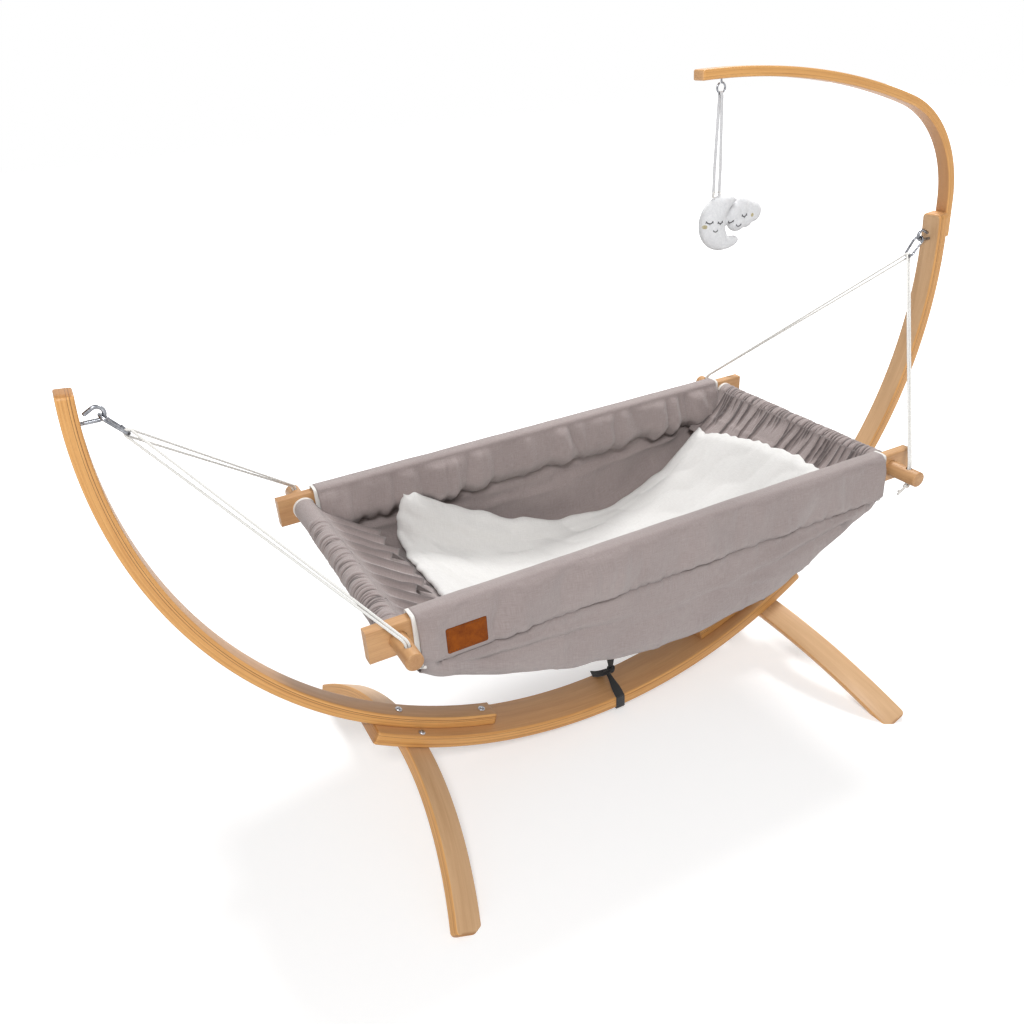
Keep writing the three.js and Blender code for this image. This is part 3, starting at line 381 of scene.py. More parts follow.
def addBump(tree, shader, height, distance, strength):
    bump = addNode(tree, "ShaderNodeBump", Height=height, Distance=distance, Strength=strength)
    plug(tree, shader, Normal=bump.outputs["Normal"])


def useGroup(tree, group, **values):
    return addNode(tree, "ShaderNodeGroup", {"node_tree": group}, **values)


def boardPlace(tree):  # the flat board's coordinates, before it was bent
    return addNode(tree, "ShaderNodeAttribute", {"attribute_name": "board"}).outputs["Vector"]


def objectPlace(tree):
    return addNode(tree, "ShaderNodeTexCoord").outputs["Object"]


def flatPlace(tree):
    return addNode(tree, "ShaderNodeUVMap", {"uv_map": "flat"}).outputs["UV"]


# Lacquered bent boards of a half thickness, with glue lines at heights through the board
def makeBentWood(name, half, glueLines, facePale=(216, 178, 136), faceDark=(184, 142, 100),
                 cutTone=(138, 88, 46)):
    material, tree, shader = newMaterial(name)
    place = boardPlace(tree)
    through = addNode(tree, "ShaderNodeSeparateXYZ", Vector=place).outputs["Z"]
    layer = mathOf(tree, "FLOOR", sum2(tree, through, 420, "MULTIPLY"))
    shift = addNode(tree, "ShaderNodeCombineXYZ", X=sum2(tree, layer, 0.37, "MULTIPLY"))
    apart = addNode(tree, "ShaderNodeVectorMath", {"operation": "ADD"}, i0=place, i1=shift.outputs[0])
    edge = useGroup(tree, beechGrain, Place=apart.outputs[0], Pale=tone(226, 172, 104),
                    Dark=tone(184, 124, 64), Streak=0.85)
    face = useGroup(tree, beechGrain, Place=place, Pale=tone(*facePale), Dark=tone(*faceDark), Streak=0.8)
    deep = mathOf(tree, "ABSOLUTE", through)
    color = mixOf(tree, spread(tree, deep, half - 0.0006, half - 0.0001), edge.outputs["Color"],
                  face.outputs["Color"])
    grooves = None
    for middle, width, depth in glueLines:
        off = mathOf(tree, "ABSOLUTE", sum2(tree, through, middle, "SUBTRACT"))
        off = sum2(tree, off, width, "DIVIDE")
        line = sum2(tree, spread(tree, off, 0.4, 1.0, 1, 0), depth, "MULTIPLY")
        grooves = line if grooves is None else sum2(tree, grooves, line)
    color = mixOf(tree, grooves, color, tone(88, 48, 20))
    cut = addNode(tree, "ShaderNodeAttribute", {"attribute_name": "cutEnd"}).outputs["Fac"]
    color = mixOf(tree, spread(tree, cut, 0.6, 1, 0, 0.55), color, tone(*cutTone))
    plug(tree, shader, Base_Color=color, Roughness=edge.outputs["Roughness"], Specular_IOR_Level=0.35,
         Coat_Weight=0.2, Coat_Roughness=0.3)
    height = sum2(tree, edge.outputs["Height"], sum2(tree, grooves, -0.8, "MULTIPLY"))
    addBump(tree, shader, height, 0.00025, 0.8)
    return material


armLines = [(0.0062, 0.0006, 0.85), (0.0026, 0.0005, 0.75), (-0.0045, 0.0003, 0.3)]
# The left arm uses a darker copy of the same arm wood: its broad faces carry painted shade
armWoods = {"right": makeBentWood("honeyRightArmWood", 0.012, armLines, cutTone=(188, 140, 96)),
            "left": makeBentWood("shadedLeftArmWood", 0.012, armLines, (196, 152, 108), (160, 116, 74))}
baseWood = makeBentWood("honeyBaseWood", 0.013,
                        [(0.0076, 0.0006, 0.6), (0.0016, 0.0003, 0.35), (-0.005, 0.0004, 0.4)],
                        (208, 160, 110), (172, 124, 80))
legWood = makeBentWood("honeyLegWood", 0.011, [(0.004, 0.0004, 0.4), (-0.003, 0.0004, 0.3)])
toyArmWood = makeBentWood("honeyToyArmWood", 0.008, [(0.0032, 0.0004, 0.4), (-0.003, 0.0003, 0.3)],
                          (198, 146, 96), (168, 118, 72), (214, 170, 128))


def makePaleWood(name, turn=(0, 0, 0)):
    material, tree, shader = newMaterial(name)
    grain = useGroup(tree, beechGrain, Place=stretched(tree, objectPlace(tree), (1, 1, 1), turn),
                     Pale=tone(202, 158, 110), Dark=tone(160, 114, 72), Streak=1.0)
    plug(tree, shader, Base_Color=grain.outputs["Color"], Roughness=grain.outputs["Roughness"])
    addBump(tree, shader, grain.outputs["Height"], 0.0002, 0.8)
    return material


railWood = makePaleWood("paleRailWood")
dowelWood = makePaleWood("paleDowelWood", (0, 0, math.pi / 2))


def makeCloth(name, thread, gap, threads, place=flatPlace, depth=0.0003):
    material, tree, shader = newMaterial(name)
    weave = useGroup(tree, plainWeave, Place=place(tree), Thread=thread, Gap=gap, Threads=threads)
    # Painted shade: a crease mask on the mesh darkens the cloth towards a dark copy of its gap colour in
    # creases, pleat gaps and the seam groove
    creaseShade = addNode(tree, "ShaderNodeAttribute", {"attribute_name": "creaseShade"}).outputs["Fac"]
    deep = tuple(c * 0.3 for c in gap[:3]) + (1,)
    color = mixOf(tree, spread(tree, creaseShade, 0, 1, 0, 0.8), weave.outputs["Color"], deep)
    plug(tree, shader, Base_Color=color, Roughness=weave.outputs["Roughness"], Sheen_Weight=0.25,
         Sheen_Roughness=0.6)
    addBump(tree, shader, weave.outputs["Height"], depth, 0.8)
    return material


greyCanvas = makeCloth("greyCanvas", tone(171, 158, 155), tone(130, 117, 115), 1000)
whiteTape = makeCloth("whiteTape", tone(246, 244, 240), tone(216, 212, 206), 1200)
whiteMuslin = makeCloth("whiteMuslin", tone(235, 234, 232), tone(208, 206, 203), 1100)
blackWebbing = makeCloth("blackWebbing", tone(34, 34, 36), tone(8, 8, 9), 620, depth=0.0005)
silverRibbon = makeCloth("silverRibbon", tone(226, 226, 227), tone(188, 188, 191), 1600)
silverRibbon.node_tree.nodes["Principled BSDF"].inputs["Sheen Weight"].default_value = 0.5


def makePlush(name):
    material, tree, shader = newMaterial(name)
    place = objectPlace(tree)
    pile = noiseOf(tree, place, 900, 4, 0.7)
    tufts = noiseOf(tree, place, 210, 3, 0.6)
    share = sum2(tree, spread(tree, pile, 0.3, 0.7, 0, 0.6), spread(tree, tufts, 0.3, 0.7, 0, 0.4))
    plug(tree, shader, Base_Color=mixOf(tree, share, tone(206, 207, 210), tone(240, 240, 241)),
         Roughness=spread(tree, pile, 0.3, 0.7, 1, 0.85), Sheen_Weight=0.5, Sheen_Roughness=0.5)
    addBump(tree, shader, share, 0.0008, 0.7)
    return material


def makeThread(name, light, dark):
    material, tree, shader = newMaterial(name)
    twist = noiseOf(tree, stretched(tree, objectPlace(tree), (2400, 900, 2400)), 1.0, 2, 0.5)
    plug(tree, shader, Base_Color=mixOf(tree, twist, dark, light),
         Roughness=spread(tree, twist, 0.2, 0.8, 0.75, 0.55))
    addBump(tree, shader, twist, 0.0002, 0.6)
    return material


plush = makePlush("greyWhitePlush")
eyeThread = makeThread("charcoalThread", tone(70, 70, 74), tone(34, 34, 38))
cheekThread = makeThread("khakiThread", tone(206, 196, 160), tone(166, 154, 112))
stitchThread = makeThread("darkStitching", tone(96, 54, 26), tone(58, 32, 16))


def makeCordCotton(name):
    material, tree, shader = newMaterial(name)
    place = flatPlace(tree)
    parts = addNode(tree, "ShaderNodeSeparateXYZ", Vector=place)
    waves = []
    for across in (1500, -1500):  # two families of strands that cross
        slant = sum2(tree, sum2(tree, parts.outputs["X"], 900, "MULTIPLY"),
                     sum2(tree, parts.outputs["Y"], across, "MULTIPLY"))
        waves.append(mathOf(tree, "SINE", slant))
    plait = sum2(tree, waves[0], waves[1], "MULTIPLY")
    fuzz = noiseOf(tree, objectPlace(tree), 1400, 3, 0.6)
    share = sum2(tree, spread(tree, plait, -1, 1, 0.2, 0.8), spread(tree, fuzz, 0.3, 0.7, -0.2, 0.2))
    plug(tree, shader, Base_Color=mixOf(tree, share, tone(204, 202, 197), tone(236, 235, 232)),
         Roughness=spread(tree, fuzz, 0.3, 0.7, 0.9, 0.7), Sheen_Weight=0.2)
    addBump(tree, shader, share, 0.0002, 0.7)
    return material


cordCotton = makeCordCotton("whiteCordCotton")


def makeMetal(name, bright, dull, rough, scale):
    material, tree, shader = newMaterial(name)
    place = objectPlace(tree)
    cloudy = noiseOf(tree, place, scale, 4, 0.6)
    scratch = noiseOf(tree, stretched(tree, place, (1900, 300, 1900)), 1.0, 3, 0.6)
    plug(tree, shader, Base_Color=mixOf(tree, spread(tree, cloudy, 0.3, 0.7), dull, bright),
         Roughness=spread(tree, scratch, 0.25, 0.75, rough - 0.06, rough + 0.1), Metallic=1)
    addBump(tree, shader, scratch, 0.00004, 0.5)
    return material


zincSteel = makeMetal("zincSteel", tone(168, 170, 175), tone(98, 100, 105), 0.26, 160)
boltSteel = makeMetal("boltSteel", tone(212, 214, 218), tone(146, 148, 153), 0.3, 200)
snapSteel = makeMetal("snapSteel", tone(174, 176, 181), tone(86, 88, 93), 0.2, 90)


def makeLeather(name):
    material, tree, shader = newMaterial(name)
    place = objectPlace(tree)
    pebble = addNode(tree, "ShaderNodeTexVoronoi", {"feature": "F1"}, Vector=place,
                     Scale=900).outputs["Distance"]
    mottle = noiseOf(tree, place, 60, 4, 0.6, 0.4)
    creases = noiseOf(tree, place, 380, 3, 0.6)
    share = sum2(tree, spread(tree, mottle, 0.3, 0.7, 0, 0.8), spread(tree, creases, 0.3, 0.7, -0.1, 0.2))
    color = mixOf(tree, share, tone(110, 50, 3), tone(150, 78, 10))
    rim = addNode(tree, "ShaderNodeAttribute", {"attribute_name": "rim"}).outputs["Fac"]
    color = mixOf(tree, spread(tree, rim, 0.45, 1, 0, 0.6), color, tone(70, 30, 6))
    plug(tree, shader, Base_Color=color, Specular_IOR_Level=0.12,
         Roughness=spread(tree, pebble, 0, 0.7, 0.62, 0.45))
    height = sum2(tree, sum2(tree, pebble, -0.6, "MULTIPLY"), sum2(tree, creases, 0.4, "MULTIPLY"))
    addBump(tree, shader, height, 0.0003, 0.7)
    return material


tanLeather = makeLeather("tanLeather")
print("materials made:", len(bpy.data.materials))

seatGap = 0.0003  # between pieces that lie on each other

# Suspension: shared sizes of the dowels, hooks, snap hooks and cords
dowel = {"radius": 0.014, "length": 0.614, "x": 0.483, "z": 0.518, "edge": 0.002, "hole": 0.0055,
         "holeY": 0.284}
hook = {"wire": 0.003, "radius": 0.0095, "centre": (0.77384, 0.852), "depth": 0.016, "faceX": 0.79684,
        "curlDeg": 200, "tipRun": 0.017, "tipDrop": 0.008, "thread": 0.0022}
snap = {"wire": 0.0025, "length": 0.05, "topRadius": 0.01, "endRadius": 0.0085, "gate": 0.0021, "top": 0.012,
        "end": 0.033, "nose": 0.0114, "pin": 0.0336, "rivet": 0.0012, "rivetHalf": 0.0031}
rope = {"radius": 0.002, "halfPair": 0.00235, "slack": 0.0007, "knotZ": 0.4975, "knot": 0.0031, "tail": 0.022,
        "twist": {"strands": 3, "pitch": 0.011, "depth": 0.05}}

pull = Vector((dowel["x"] - hook["centre"][0], 0, dowel["z"] - hook["centre"][1])).normalized()
snapTop = Vector((hook["centre"][0], 0, hook["centre"][1])) + pull * (
    hook["radius"] - hook["wire"] - seatGap - snap["wire"])
snapFrame = frameAt(snapTop, pull, Vector((0, 1, 0)))
halfTurn = Matrix.Rotation(math.pi, 4, "Z")
ends = {"right": Matrix.Identity(4), "left": halfTurn}
acrossBed = Matrix.Scale(-1, 4, (0, 1, 0))
bedCorners = [("near_right", ends["right"], ends["right"]), ("far_right", ends["right"], acrossBed),
              ("far_left", halfTurn, ends["right"]), ("near_left", halfTurn, acrossBed)]


def cordRoute(rope):  # knot, dowel hole, over the end of the snap hook, and back beside itself
    bightRadius = snap["wire"] + rope["slack"] + rope["radius"]
    shift = rope["radius"] + 0.00015
    span = snap["length"] - 2 * snap["wire"]
    rise = snap["endRadius"] - math.sqrt(snap["endRadius"] ** 2 - shift ** 2)
    barSide = pull.cross(Vector((0, 1, 0))).normalized()
    bar = snapTop + pull * (span - rise)
    bar.y = -shift
    mouthZ = dowel["z"] + dowel["radius"] + 3 * rope["radius"]

    def strand(start, offset):
        mouth = Vector((dowel["x"] + offset, -dowel["holeY"], mouthZ))
        end = Vector((dowel["x"] + offset, -dowel["holeY"], rope["knotZ"]))
        enter = mouth.lerp(start, 4 * rope["radius"] / (mouth - start).length)
        leave = mouth.lerp(end, 4 * rope["radius"] / (mouth - end).length)
        return [start] + curved(enter, mouth, leave, 8) + [end]

    bight = []
    for i in range(17):
        turn = math.pi * i / 16
        bight.append(bar + barSide * (bightRadius * math.cos(turn)) - pull * (bightRadius * math.sin(turn)))
    offset = math.copysign(rope["halfPair"], barSide.x)
    up = strand(bight[0], offset)
    down = strand(bight[-1], -offset)
    return evenly(up[::-1] + bight[1:-1] + down, 0.0022)


# Cords
nearRoute = cordRoute(rope)
knotCentre = Vector((dowel["x"], -dowel["holeY"], rope["knotZ"]))


def makeKnot(bm):  # an overhand knot with two short tails
    s = rope["knot"] / 2
    loop = []
    for i in range(97):
        t = 2 * math.pi * i / 96
        loop.append(knotCentre + Vector((s * (math.sin(t) + 2 * math.sin(2 * t)) * 0.98,
                                         s * (math.cos(t) - 2 * math.cos(2 * t)) * 0.8,
                                         -s * math.sin(3 * t) * 1.5)))
    drawTube(bm, loop, rope["radius"] * 1.05, 10, capped=False)
    bmesh.ops.remove_doubles(bm, verts=bm.verts, dist=1e-6)
    for side, drop, lean in ((-1, 1.0, 0.002), (1, 0.86, -0.003)):
        end = knotCentre + Vector((-rope["tail"] * drop, lean + side * 0.0034, -0.0085 + side * 0.0022))
        bend = knotCentre + Vector((-rope["tail"] * 0.4, lean * 0.3 + side * 0.001, -0.0085))
        drawTube(bm, curved(knotCentre, bend, end, 12),
                 lambda u: rope["radius"] * (0.92 + 0.22 * easeBetween(0.8, 1, u)), 10)


for corner, turn, flip in bedCorners:
    mirror = turn @ flip
    route = [mirror @ p for p in nearRoute]
    bm = bmesh.new()
    drawTube(bm, route, rope["radius"], 12, twist=rope["twist"])
    cordPiece = addPiece(f"{corner}_cord_line", toMesh("cord", bm), cordCotton, "bed",
                         [f"{corner}_cord"], 60)
    bm = bmesh.new()
    makeKnot(bm)
    bmesh.ops.transform(bm, matrix=mirror, verts=bm.verts)
    knotPiece = addPiece(f"{corner}_cord_knot", toMesh("knot", bm), cordCotton, "bed", (), 60)
    tuple(route[0])
    round(routeLength(route), 3)
    [tuple(p) for p in route]
print("cords made, each", round(routeLength(nearRoute), 3), "m")


# Hooks, snap hooks and gates
def hookRoute(hook):
    cx, cz = hook["centre"]
    shankZ = cz - hook["radius"]
    curl = arcXZ(hook["centre"], hook["radius"], 270, 270 - hook["curlDeg"], 40)
    tip = Vector((cx + hook["tipRun"], 0, cz + hook["radius"] - hook["tipDrop"]))
    route = [Vector((hook["faceX"] + hook["depth"], 0, shankZ))] + curl + [tip]
    return softened(evenly(route, 0.0007), 6)


hookLine = hookRoute(hook)
threadStart = hook["faceX"] - 0.004


def hookRadius(u):
    point = hookLine[round(u * (len(hookLine) - 1))]
    shankZ = hook["centre"][1] - hook["radius"]
    if point.x > threadStart and abs(point.z - shankZ) < 0.0004:
        return hook["wire"] * (0.93 + 0.09 * math.cos(2 * math.pi * point.x / hook["thread"]))
    return hook["wire"] * (1 - 0.45 * easeBetween(0.985, 1, u) ** 2)


def snapLocal(x, down):
    return snapFrame @ Vector((x, 0, down))


def gateX(down):
    span = snap["length"] - 2 * snap["wire"] - snap["endRadius"]
    share = (down - snap["topRadius"]) / (span - snap["topRadius"])
    return -snap["topRadius"] - share * (snap["endRadius"] - snap["topRadius"])


snapEnd = snap["length"] - 2 * snap["wire"] - snap["endRadius"]
snapLine = [snapLocal(gateX(snap["nose"]), snap["nose"])]
for i in range(33):
    turn = math.radians(180 + 180 * i / 32)
    snapLine.append(snapLocal(snap["topRadius"] * math.cos(turn), snap["topRadius"] * (1 + math.sin(turn))))
for i in range(33):
    turn = math.radians(180 * i / 32)
    snapLine.append(snapLocal(snap["endRadius"] * math.cos(turn),
                              snapEnd + snap["endRadius"] * math.sin(turn)))
snapLine.append(snapLocal(gateX(snap["pin"]), snap["pin"]))
snapLine = evenly(snapLine, 0.0012)
gateLine = evenly([snapLocal(gateX(snap["top"]), snap["top"]), snapLocal(gateX(snap["end"]), snap["end"])],
                  0.0007)


def gateRadius(u):  # a plain bar with a collar at its nose and a shoulder at its hinge
    collar = easeBetween(0, 0.03, u) * (1 - easeBetween(0.12, 0.16, u))
    shoulder = easeBetween(0.84, 0.88, u) * (1 - easeBetween(0.97, 1, u))
    return snap["gate"] * (0.86 + 0.14 * max(collar, shoulder))


for sideName, turn in ends.items():
    bm = bmesh.new()
    drawTube(bm, hookLine, hookRadius, 20)
    bmesh.ops.transform(bm, matrix=turn, verts=bm.verts)
    addPiece(f"{sideName}_hook_wire", toMesh("hook", bm), zincSteel, "stand",
             [f"{sideName}_hook"], 60)
    bm = bmesh.new()
    drawTube(bm, snapLine, snap["wire"], 20)
    pin = snapLocal(gateX(snap["pin"]), snap["pin"])
    across = (snapFrame.to_3x3() @ Vector((0, 1, 0))).normalized()
    rivet = evenly([pin - across * snap["rivetHalf"], pin + across * snap["rivetHalf"]], 0.0004)
    drawTube(bm, rivet, lambda u: snap["rivet"] * (1 - 0.25 * easeBetween(0.42, 0.5, abs(u - 0.5))), 14,
             side=pull)
    bmesh.ops.transform(bm, matrix=turn, verts=bm.verts)
    addPiece(f"{sideName}_snap_hook", toMesh("snap", bm), snapSteel, "bed",
             [f"{sideName}_carabiner"], 60)
    bm = bmesh.new()
    drawTube(bm, gateLine, gateRadius, 18)
    bmesh.ops.transform(bm, matrix=turn, verts=bm.verts)
    addPiece(f"{sideName}_snap_gate_bar", toMesh("gate", bm), snapSteel, f"{sideName}_snap_gate",
             [f"{sideName}_gate"], 60)
print("hooks and snap hooks made")


# Bent boards: cut flat, their corners and edges rounded, then bent along a line of sections.
# Sections are ("straight", length) or ("arc", radius, radians)
def walkPath(start, sections):  # gives the length, and x, z and heading at a length
    marks = []
    x, z, turn = start
    at = 0
    for section in sections:
        if section[0] == "straight":
            marks.append((at, section[1], x, z, turn, 0))
            at += section[1]
            x += section[1] * math.cos(turn)
            z += section[1] * math.sin(turn)
        else:
            radius, angle = section[1], section[2]
            marks.append((at, radius * angle, x, z, turn, radius))
            at += radius * angle
            x += radius * (math.sin(turn + angle) - math.sin(turn))
            z += radius * (math.cos(turn) - math.cos(turn + angle))
            turn += angle

    def place(s):
        for begin, long, x0, z0, t0, radius in reversed(marks):
            if s >= begin - 1e-9 or begin == 0:
                d = s - begin
                if radius == 0:
                    return x0 + d * math.cos(t0), z0 + d * math.sin(t0), t0
                t = t0 + d / radius
                along = x0 + radius * (math.sin(t) - math.sin(t0))
                return along, z0 + radius * (math.cos(t0) - math.cos(t)), t

    return at, place


def bendBoard(board, length, place):
    bm = bmesh.new()
    half = board["width"] / 2
    made = bmesh.ops.create_grid(bm, x_segments=board["steps"], y_segments=2, size=0.5)
    bmesh.ops.scale(bm, vec=(length, board["width"], 1), verts=made["verts"])
    bmesh.ops.translate(bm, vec=(length / 2, 0, -board["thickness"] / 2), verts=bm.verts)
    ends = [v for v in bm.verts if abs(abs(v.co.y) - half) < 1e-6 and
            ((board["endCorner"] and v.co.x > length - 1e-6) or (board["startCorner"] and v.co.x < 1e-6))]
    rounded(bm, ends, board["corner"], 6, "VERTICES")
    raised(bm, board["thickness"])
    bmesh.ops.recalc_face_normals(bm, faces=bm.faces)
    rim = [e for e in bm.edges if len(e.link_faces) == 2 and e.calc_face_angle() > math.radians(60)
           and abs(e.verts[0].co.z - e.verts[1].co.z) < 1e-6]
    rounded(bm, rim, board["edge"], 3)
    grain = bm.verts.layers.float_vector.new("board")
    cutEnd = bm.verts.layers.float.new("cutEnd")
    for v in bm.verts:
        v[grain] = v.co + Vector((board["plank"] * 2.7, board["plank"] * 0.31, 0))
        v[cutEnd] = 1 if v.co.x < board["corner"] * 0.3 or v.co.x > length - board["corner"] * 0.3 else 0
    for v in bm.verts:
        x, z, turn = place(v.co.x)
        v.co = Vector((x - v.co.z * math.sin(turn), v.co.y, z + v.co.z * math.cos(turn)))
    return bm


bow = {"radius": 0.88, "thickness": 0.026, "width": 0.09, "clearance": 0.016, "endDeg": 33.4, "edge": 0.004,
       "corner": 0.007, "steps": 118, "startCorner": True, "endCorner": True, "plank": 1}
bowCentreZ = bow["clearance"] + bow["thickness"] + bow["radius"]


def onBow(deg, radius):
    turn = math.radians(deg)
    return radius * math.sin(turn), bowCentreZ - radius * math.cos(turn), turn


def squareToBow(deg, y, radius):
    x, z, turn = onBow(deg, radius)
    return frameAt(Vector((x, y, z)), Vector((-math.sin(turn), 0, math.cos(turn))),
                   Vector((math.cos(turn), 0, math.sin(turn))))


bowMid = bow["radius"] + bow["thickness"] / 2
bowLength, bowPlace = walkPath(onBow(-bow["endDeg"], bowMid),
                               [("arc", bowMid, math.radians(2 * bow["endDeg"]))])
addPiece("base_board", toMesh("base", bendBoard(bow, bowLength, bowPlace)), baseWood, "stand",
         ["base_arc"])

arm = {"thickness": 0.024, "width": 0.042, "radius": 0.738, "footDeg": 16.6, "tipDeg": 96, "edge": 0.003,
       "corner": 0.009, "steps": 104, "startCorner": False, "endCorner": True, "plank": 2}
armMid = bow["radius"] - seatGap - arm["thickness"] / 2
footTurn = math.radians(bow["endDeg"] - arm["footDeg"])
armLength, armPlace = walkPath(onBow(arm["footDeg"], armMid), [
    ("arc", armMid, footTurn), ("arc", arm["radius"], math.radians(arm["tipDeg"] - bow["endDeg"]))])
for sideName, turn in ends.items():
    arm["plank"] = {"right": 2, "left": 3}[sideName]
    bm = bendBoard(arm, armLength, armPlace)
    bmesh.ops.transform(bm, matrix=turn, verts=bm.verts)
    addPiece(f"{sideName}_arm_board", toMesh("arm", bm), armWoods[sideName], "stand",
             [f"{sideName}_arm"])

leg = {"x": 0.403, "width": 0.048, "thickness": 0.022, "spread": 0.366, "toeRise": 0.004, "edge": 0.0025,
       "corner": 0.009, "steps": 76, "startCorner": True, "endCorner": True, "plank": 4}
legDeg = math.degrees(math.asin(leg["x"] / bow["radius"]))
legX, legZ, legTurn = onBow(legDeg, bow["radius"] + bow["thickness"] + seatGap)
legDrop = legZ / math.cos(legTurn)
legRadius = (leg["spread"] ** 2 + legDrop ** 2) / (2 * legDrop)
legHalf = math.acos(1 - (legZ - leg["toeRise"]) / math.cos(legTurn) / legRadius)
legMid = legRadius - leg["thickness"] / 2
legLength, legPlace = walkPath((-legMid * math.sin(legHalf), legMid * math.cos(legHalf), legHalf),
                               [("arc", -legMid, -2 * legHalf)])
legOut = Vector((-math.sin(legTurn), 0, math.cos(legTurn)))
legAlong = Vector((math.cos(legTurn), 0, math.sin(legTurn)))
legFrame = (Matrix.Translation(Vector((legX, 0, legZ)) - legOut * legRadius)
            @ Matrix((Vector((0, 1, 0)), -legAlong, legOut)).transposed().to_4x4())
for sideName, turn in ends.items():
    leg["plank"] = {"right": 4, "left": 5}[sideName]
    bm = bendBoard(leg, legLength, legPlace)
    bmesh.ops.transform(bm, matrix=legFrame, verts=bm.verts)
    bmesh.ops.bisect_plane(bm, geom=bm.verts[:] + bm.edges[:] + bm.faces[:], dist=1e-6, plane_co=(0, 0, 0),
                           plane_no=(0, 0, 1), clear_inner=True, clear_outer=False)
    bmesh.ops.holes_fill(bm, edges=[e for e in bm.edges if e.is_boundary], sides=0)
    bmesh.ops.transform(bm, matrix=turn, verts=bm.verts)
    addPiece(f"{sideName}_leg_board", toMesh("leg", bm), legWood, "stand", [f"{sideName}_leg"])

toyArm = {"thickness": 0.016, "width": 0.027, "footDeg": 93, "footDrop": 0.01, "straight": 0.068,
          "radius": 0.2195, "bendEndDeg": 160.6, "reachRadius": 1.337, "tipDeg": 181.3, "edge": 0.0025,
          "corner": 0.004, "steps": 130, "startCorner": False, "endCorner": True, "plank": 6}
footX, footZ, clampTurn = armPlace(armMid * footTurn
                                   + arm["radius"] * math.radians(toyArm["footDeg"] - bow["endDeg"]))
clampOff = arm["thickness"] / 2 + seatGap + toyArm["thickness"] / 2
toyStart = (footX + clampOff * math.sin(clampTurn) - toyArm["footDrop"] * math.cos(clampTurn),
            footZ - clampOff * math.cos(clampTurn) - toyArm["footDrop"] * math.sin(clampTurn), clampTurn)
toyLength, toyPlace = walkPath(toyStart, [
    ("straight", toyArm["straight"]),
    ("arc", toyArm["radius"], math.radians(toyArm["bendEndDeg"] - toyArm["footDeg"])),
    ("arc", toyArm["reachRadius"], math.radians(toyArm["tipDeg"] - toyArm["bendEndDeg"]))])
addPiece("mobile_arm_board", toMesh("toyArm", bendBoard(toyArm, toyLength, toyPlace)), toyArmWood, "stand",
         ["mobile_arm"])
print("bent boards made")

# Bolts and screws with domed heads and a hexagon socket
bolt = {"radius": 0.004, "headRadius": 0.007, "headHeight": 0.0036, "socket": 0.0023, "tail": 0.002,
        "nut": 0.006, "fromMiddle": 0.033}
screw = {"radius": 0.0025, "headRadius": 0.0048, "headHeight": 0.0024, "socket": 0.0016, "length": 0.03,
         "low": 0.016, "pitch": 0.021}


def makeBolt(spec, seat, end):  # along Z, its head's underside at seat, its tail at end
    r, h = spec["headRadius"], spec["headHeight"]
    rim = spec["socket"] * 1.35
    outline = [(0, end), (spec["radius"] * 0.8, end), (spec["radius"], end + 0.0008), (spec["radius"], seat),
               (r, seat)]
    for i in range(8):
        turn = math.pi / 2 * i / 7
        outline.append((rim + (r - rim) * math.cos(turn), seat + 0.0005 + (h - 0.0005) * math.sin(turn)))
    bm = turned(outline, 24)
    mouth = [e for e in bm.edges if e.is_boundary]
    hexagon = bmesh.ops.create_circle(bm, cap_ends=False, segments=6, radius=spec["socket"],
                                      matrix=Matrix.Translation((0, 0, seat + h - 0.0001)))
    ring = list({e for v in hexagon["verts"] for e in v.link_edges})
    bmesh.ops.bridge_loops(bm, edges=mouth + ring)
    sunk = bmesh.ops.extrude_edge_only(bm, edges=ring)
    low = [g for g in sunk["geom"] if isinstance(g, bmesh.types.BMVert)]
    bmesh.ops.translate(bm, vec=(0, 0, -0.6 * h), verts=low)
    bmesh.ops.holes_fill(bm, edges=[e for e in bm.edges if e.is_boundary], sides=0)
    return bm


legSag = legMid - math.sqrt(legMid ** 2 - (bolt["fromMiddle"] + 0.0075) ** 2)
armBoltDegs = (18.2, 30.2)
armStack = (arm["thickness"] + seatGap, bow["thickness"])  # above and below the base arc's upper face
legStack = (0, bow["thickness"] + seatGap + leg["thickness"] + legSag)
boltPlaces = [("arm_bolt_1", armBoltDegs[0], 0, *armStack), ("arm_bolt_2", armBoltDegs[1], 0, *armStack),
              ("leg_bolt_a", legDeg, -bolt["fromMiddle"], *legStack),
              ("leg_bolt_b", legDeg, bolt["fromMiddle"], *legStack)]
for sideName, turn in ends.items():
    for kind, deg, y, above, below in boltPlaces:
        bm = makeBolt(bolt, above + seatGap, -below - seatGap - bolt["nut"] - bolt["tail"])
        bmesh.ops.transform(bm, matrix=turn @ squareToBow(deg, y, bow["radius"]), verts=bm.verts)
        addPiece(f"{sideName}_{kind}_turned", toMesh("bolt", bm), boltSteel, "stand",
                 [f"{sideName}_{kind}"], 30)

screwAxis = Vector((math.sin(clampTurn), 0, -math.cos(clampTurn)))
footUp = Vector((math.cos(clampTurn), 0, math.sin(clampTurn)))
for name, up in (("lower", screw["low"]), ("upper", screw["low"] + screw["pitch"])):
    head = Vector((toyStart[0], 0, toyStart[1])) + footUp * up + screwAxis * (toyArm["thickness"] / 2)
    bm = makeBolt(screw, seatGap, -screw["length"])
    bmesh.ops.transform(bm, matrix=frameAt(head, screwAxis, Vector((0, 1, 0))), verts=bm.verts)
    addPiece(f"mobile_screw_{name}_turned", toMesh("screw", bm), zincSteel, "stand",
             [f"mobile_screw_{name}"], 30)

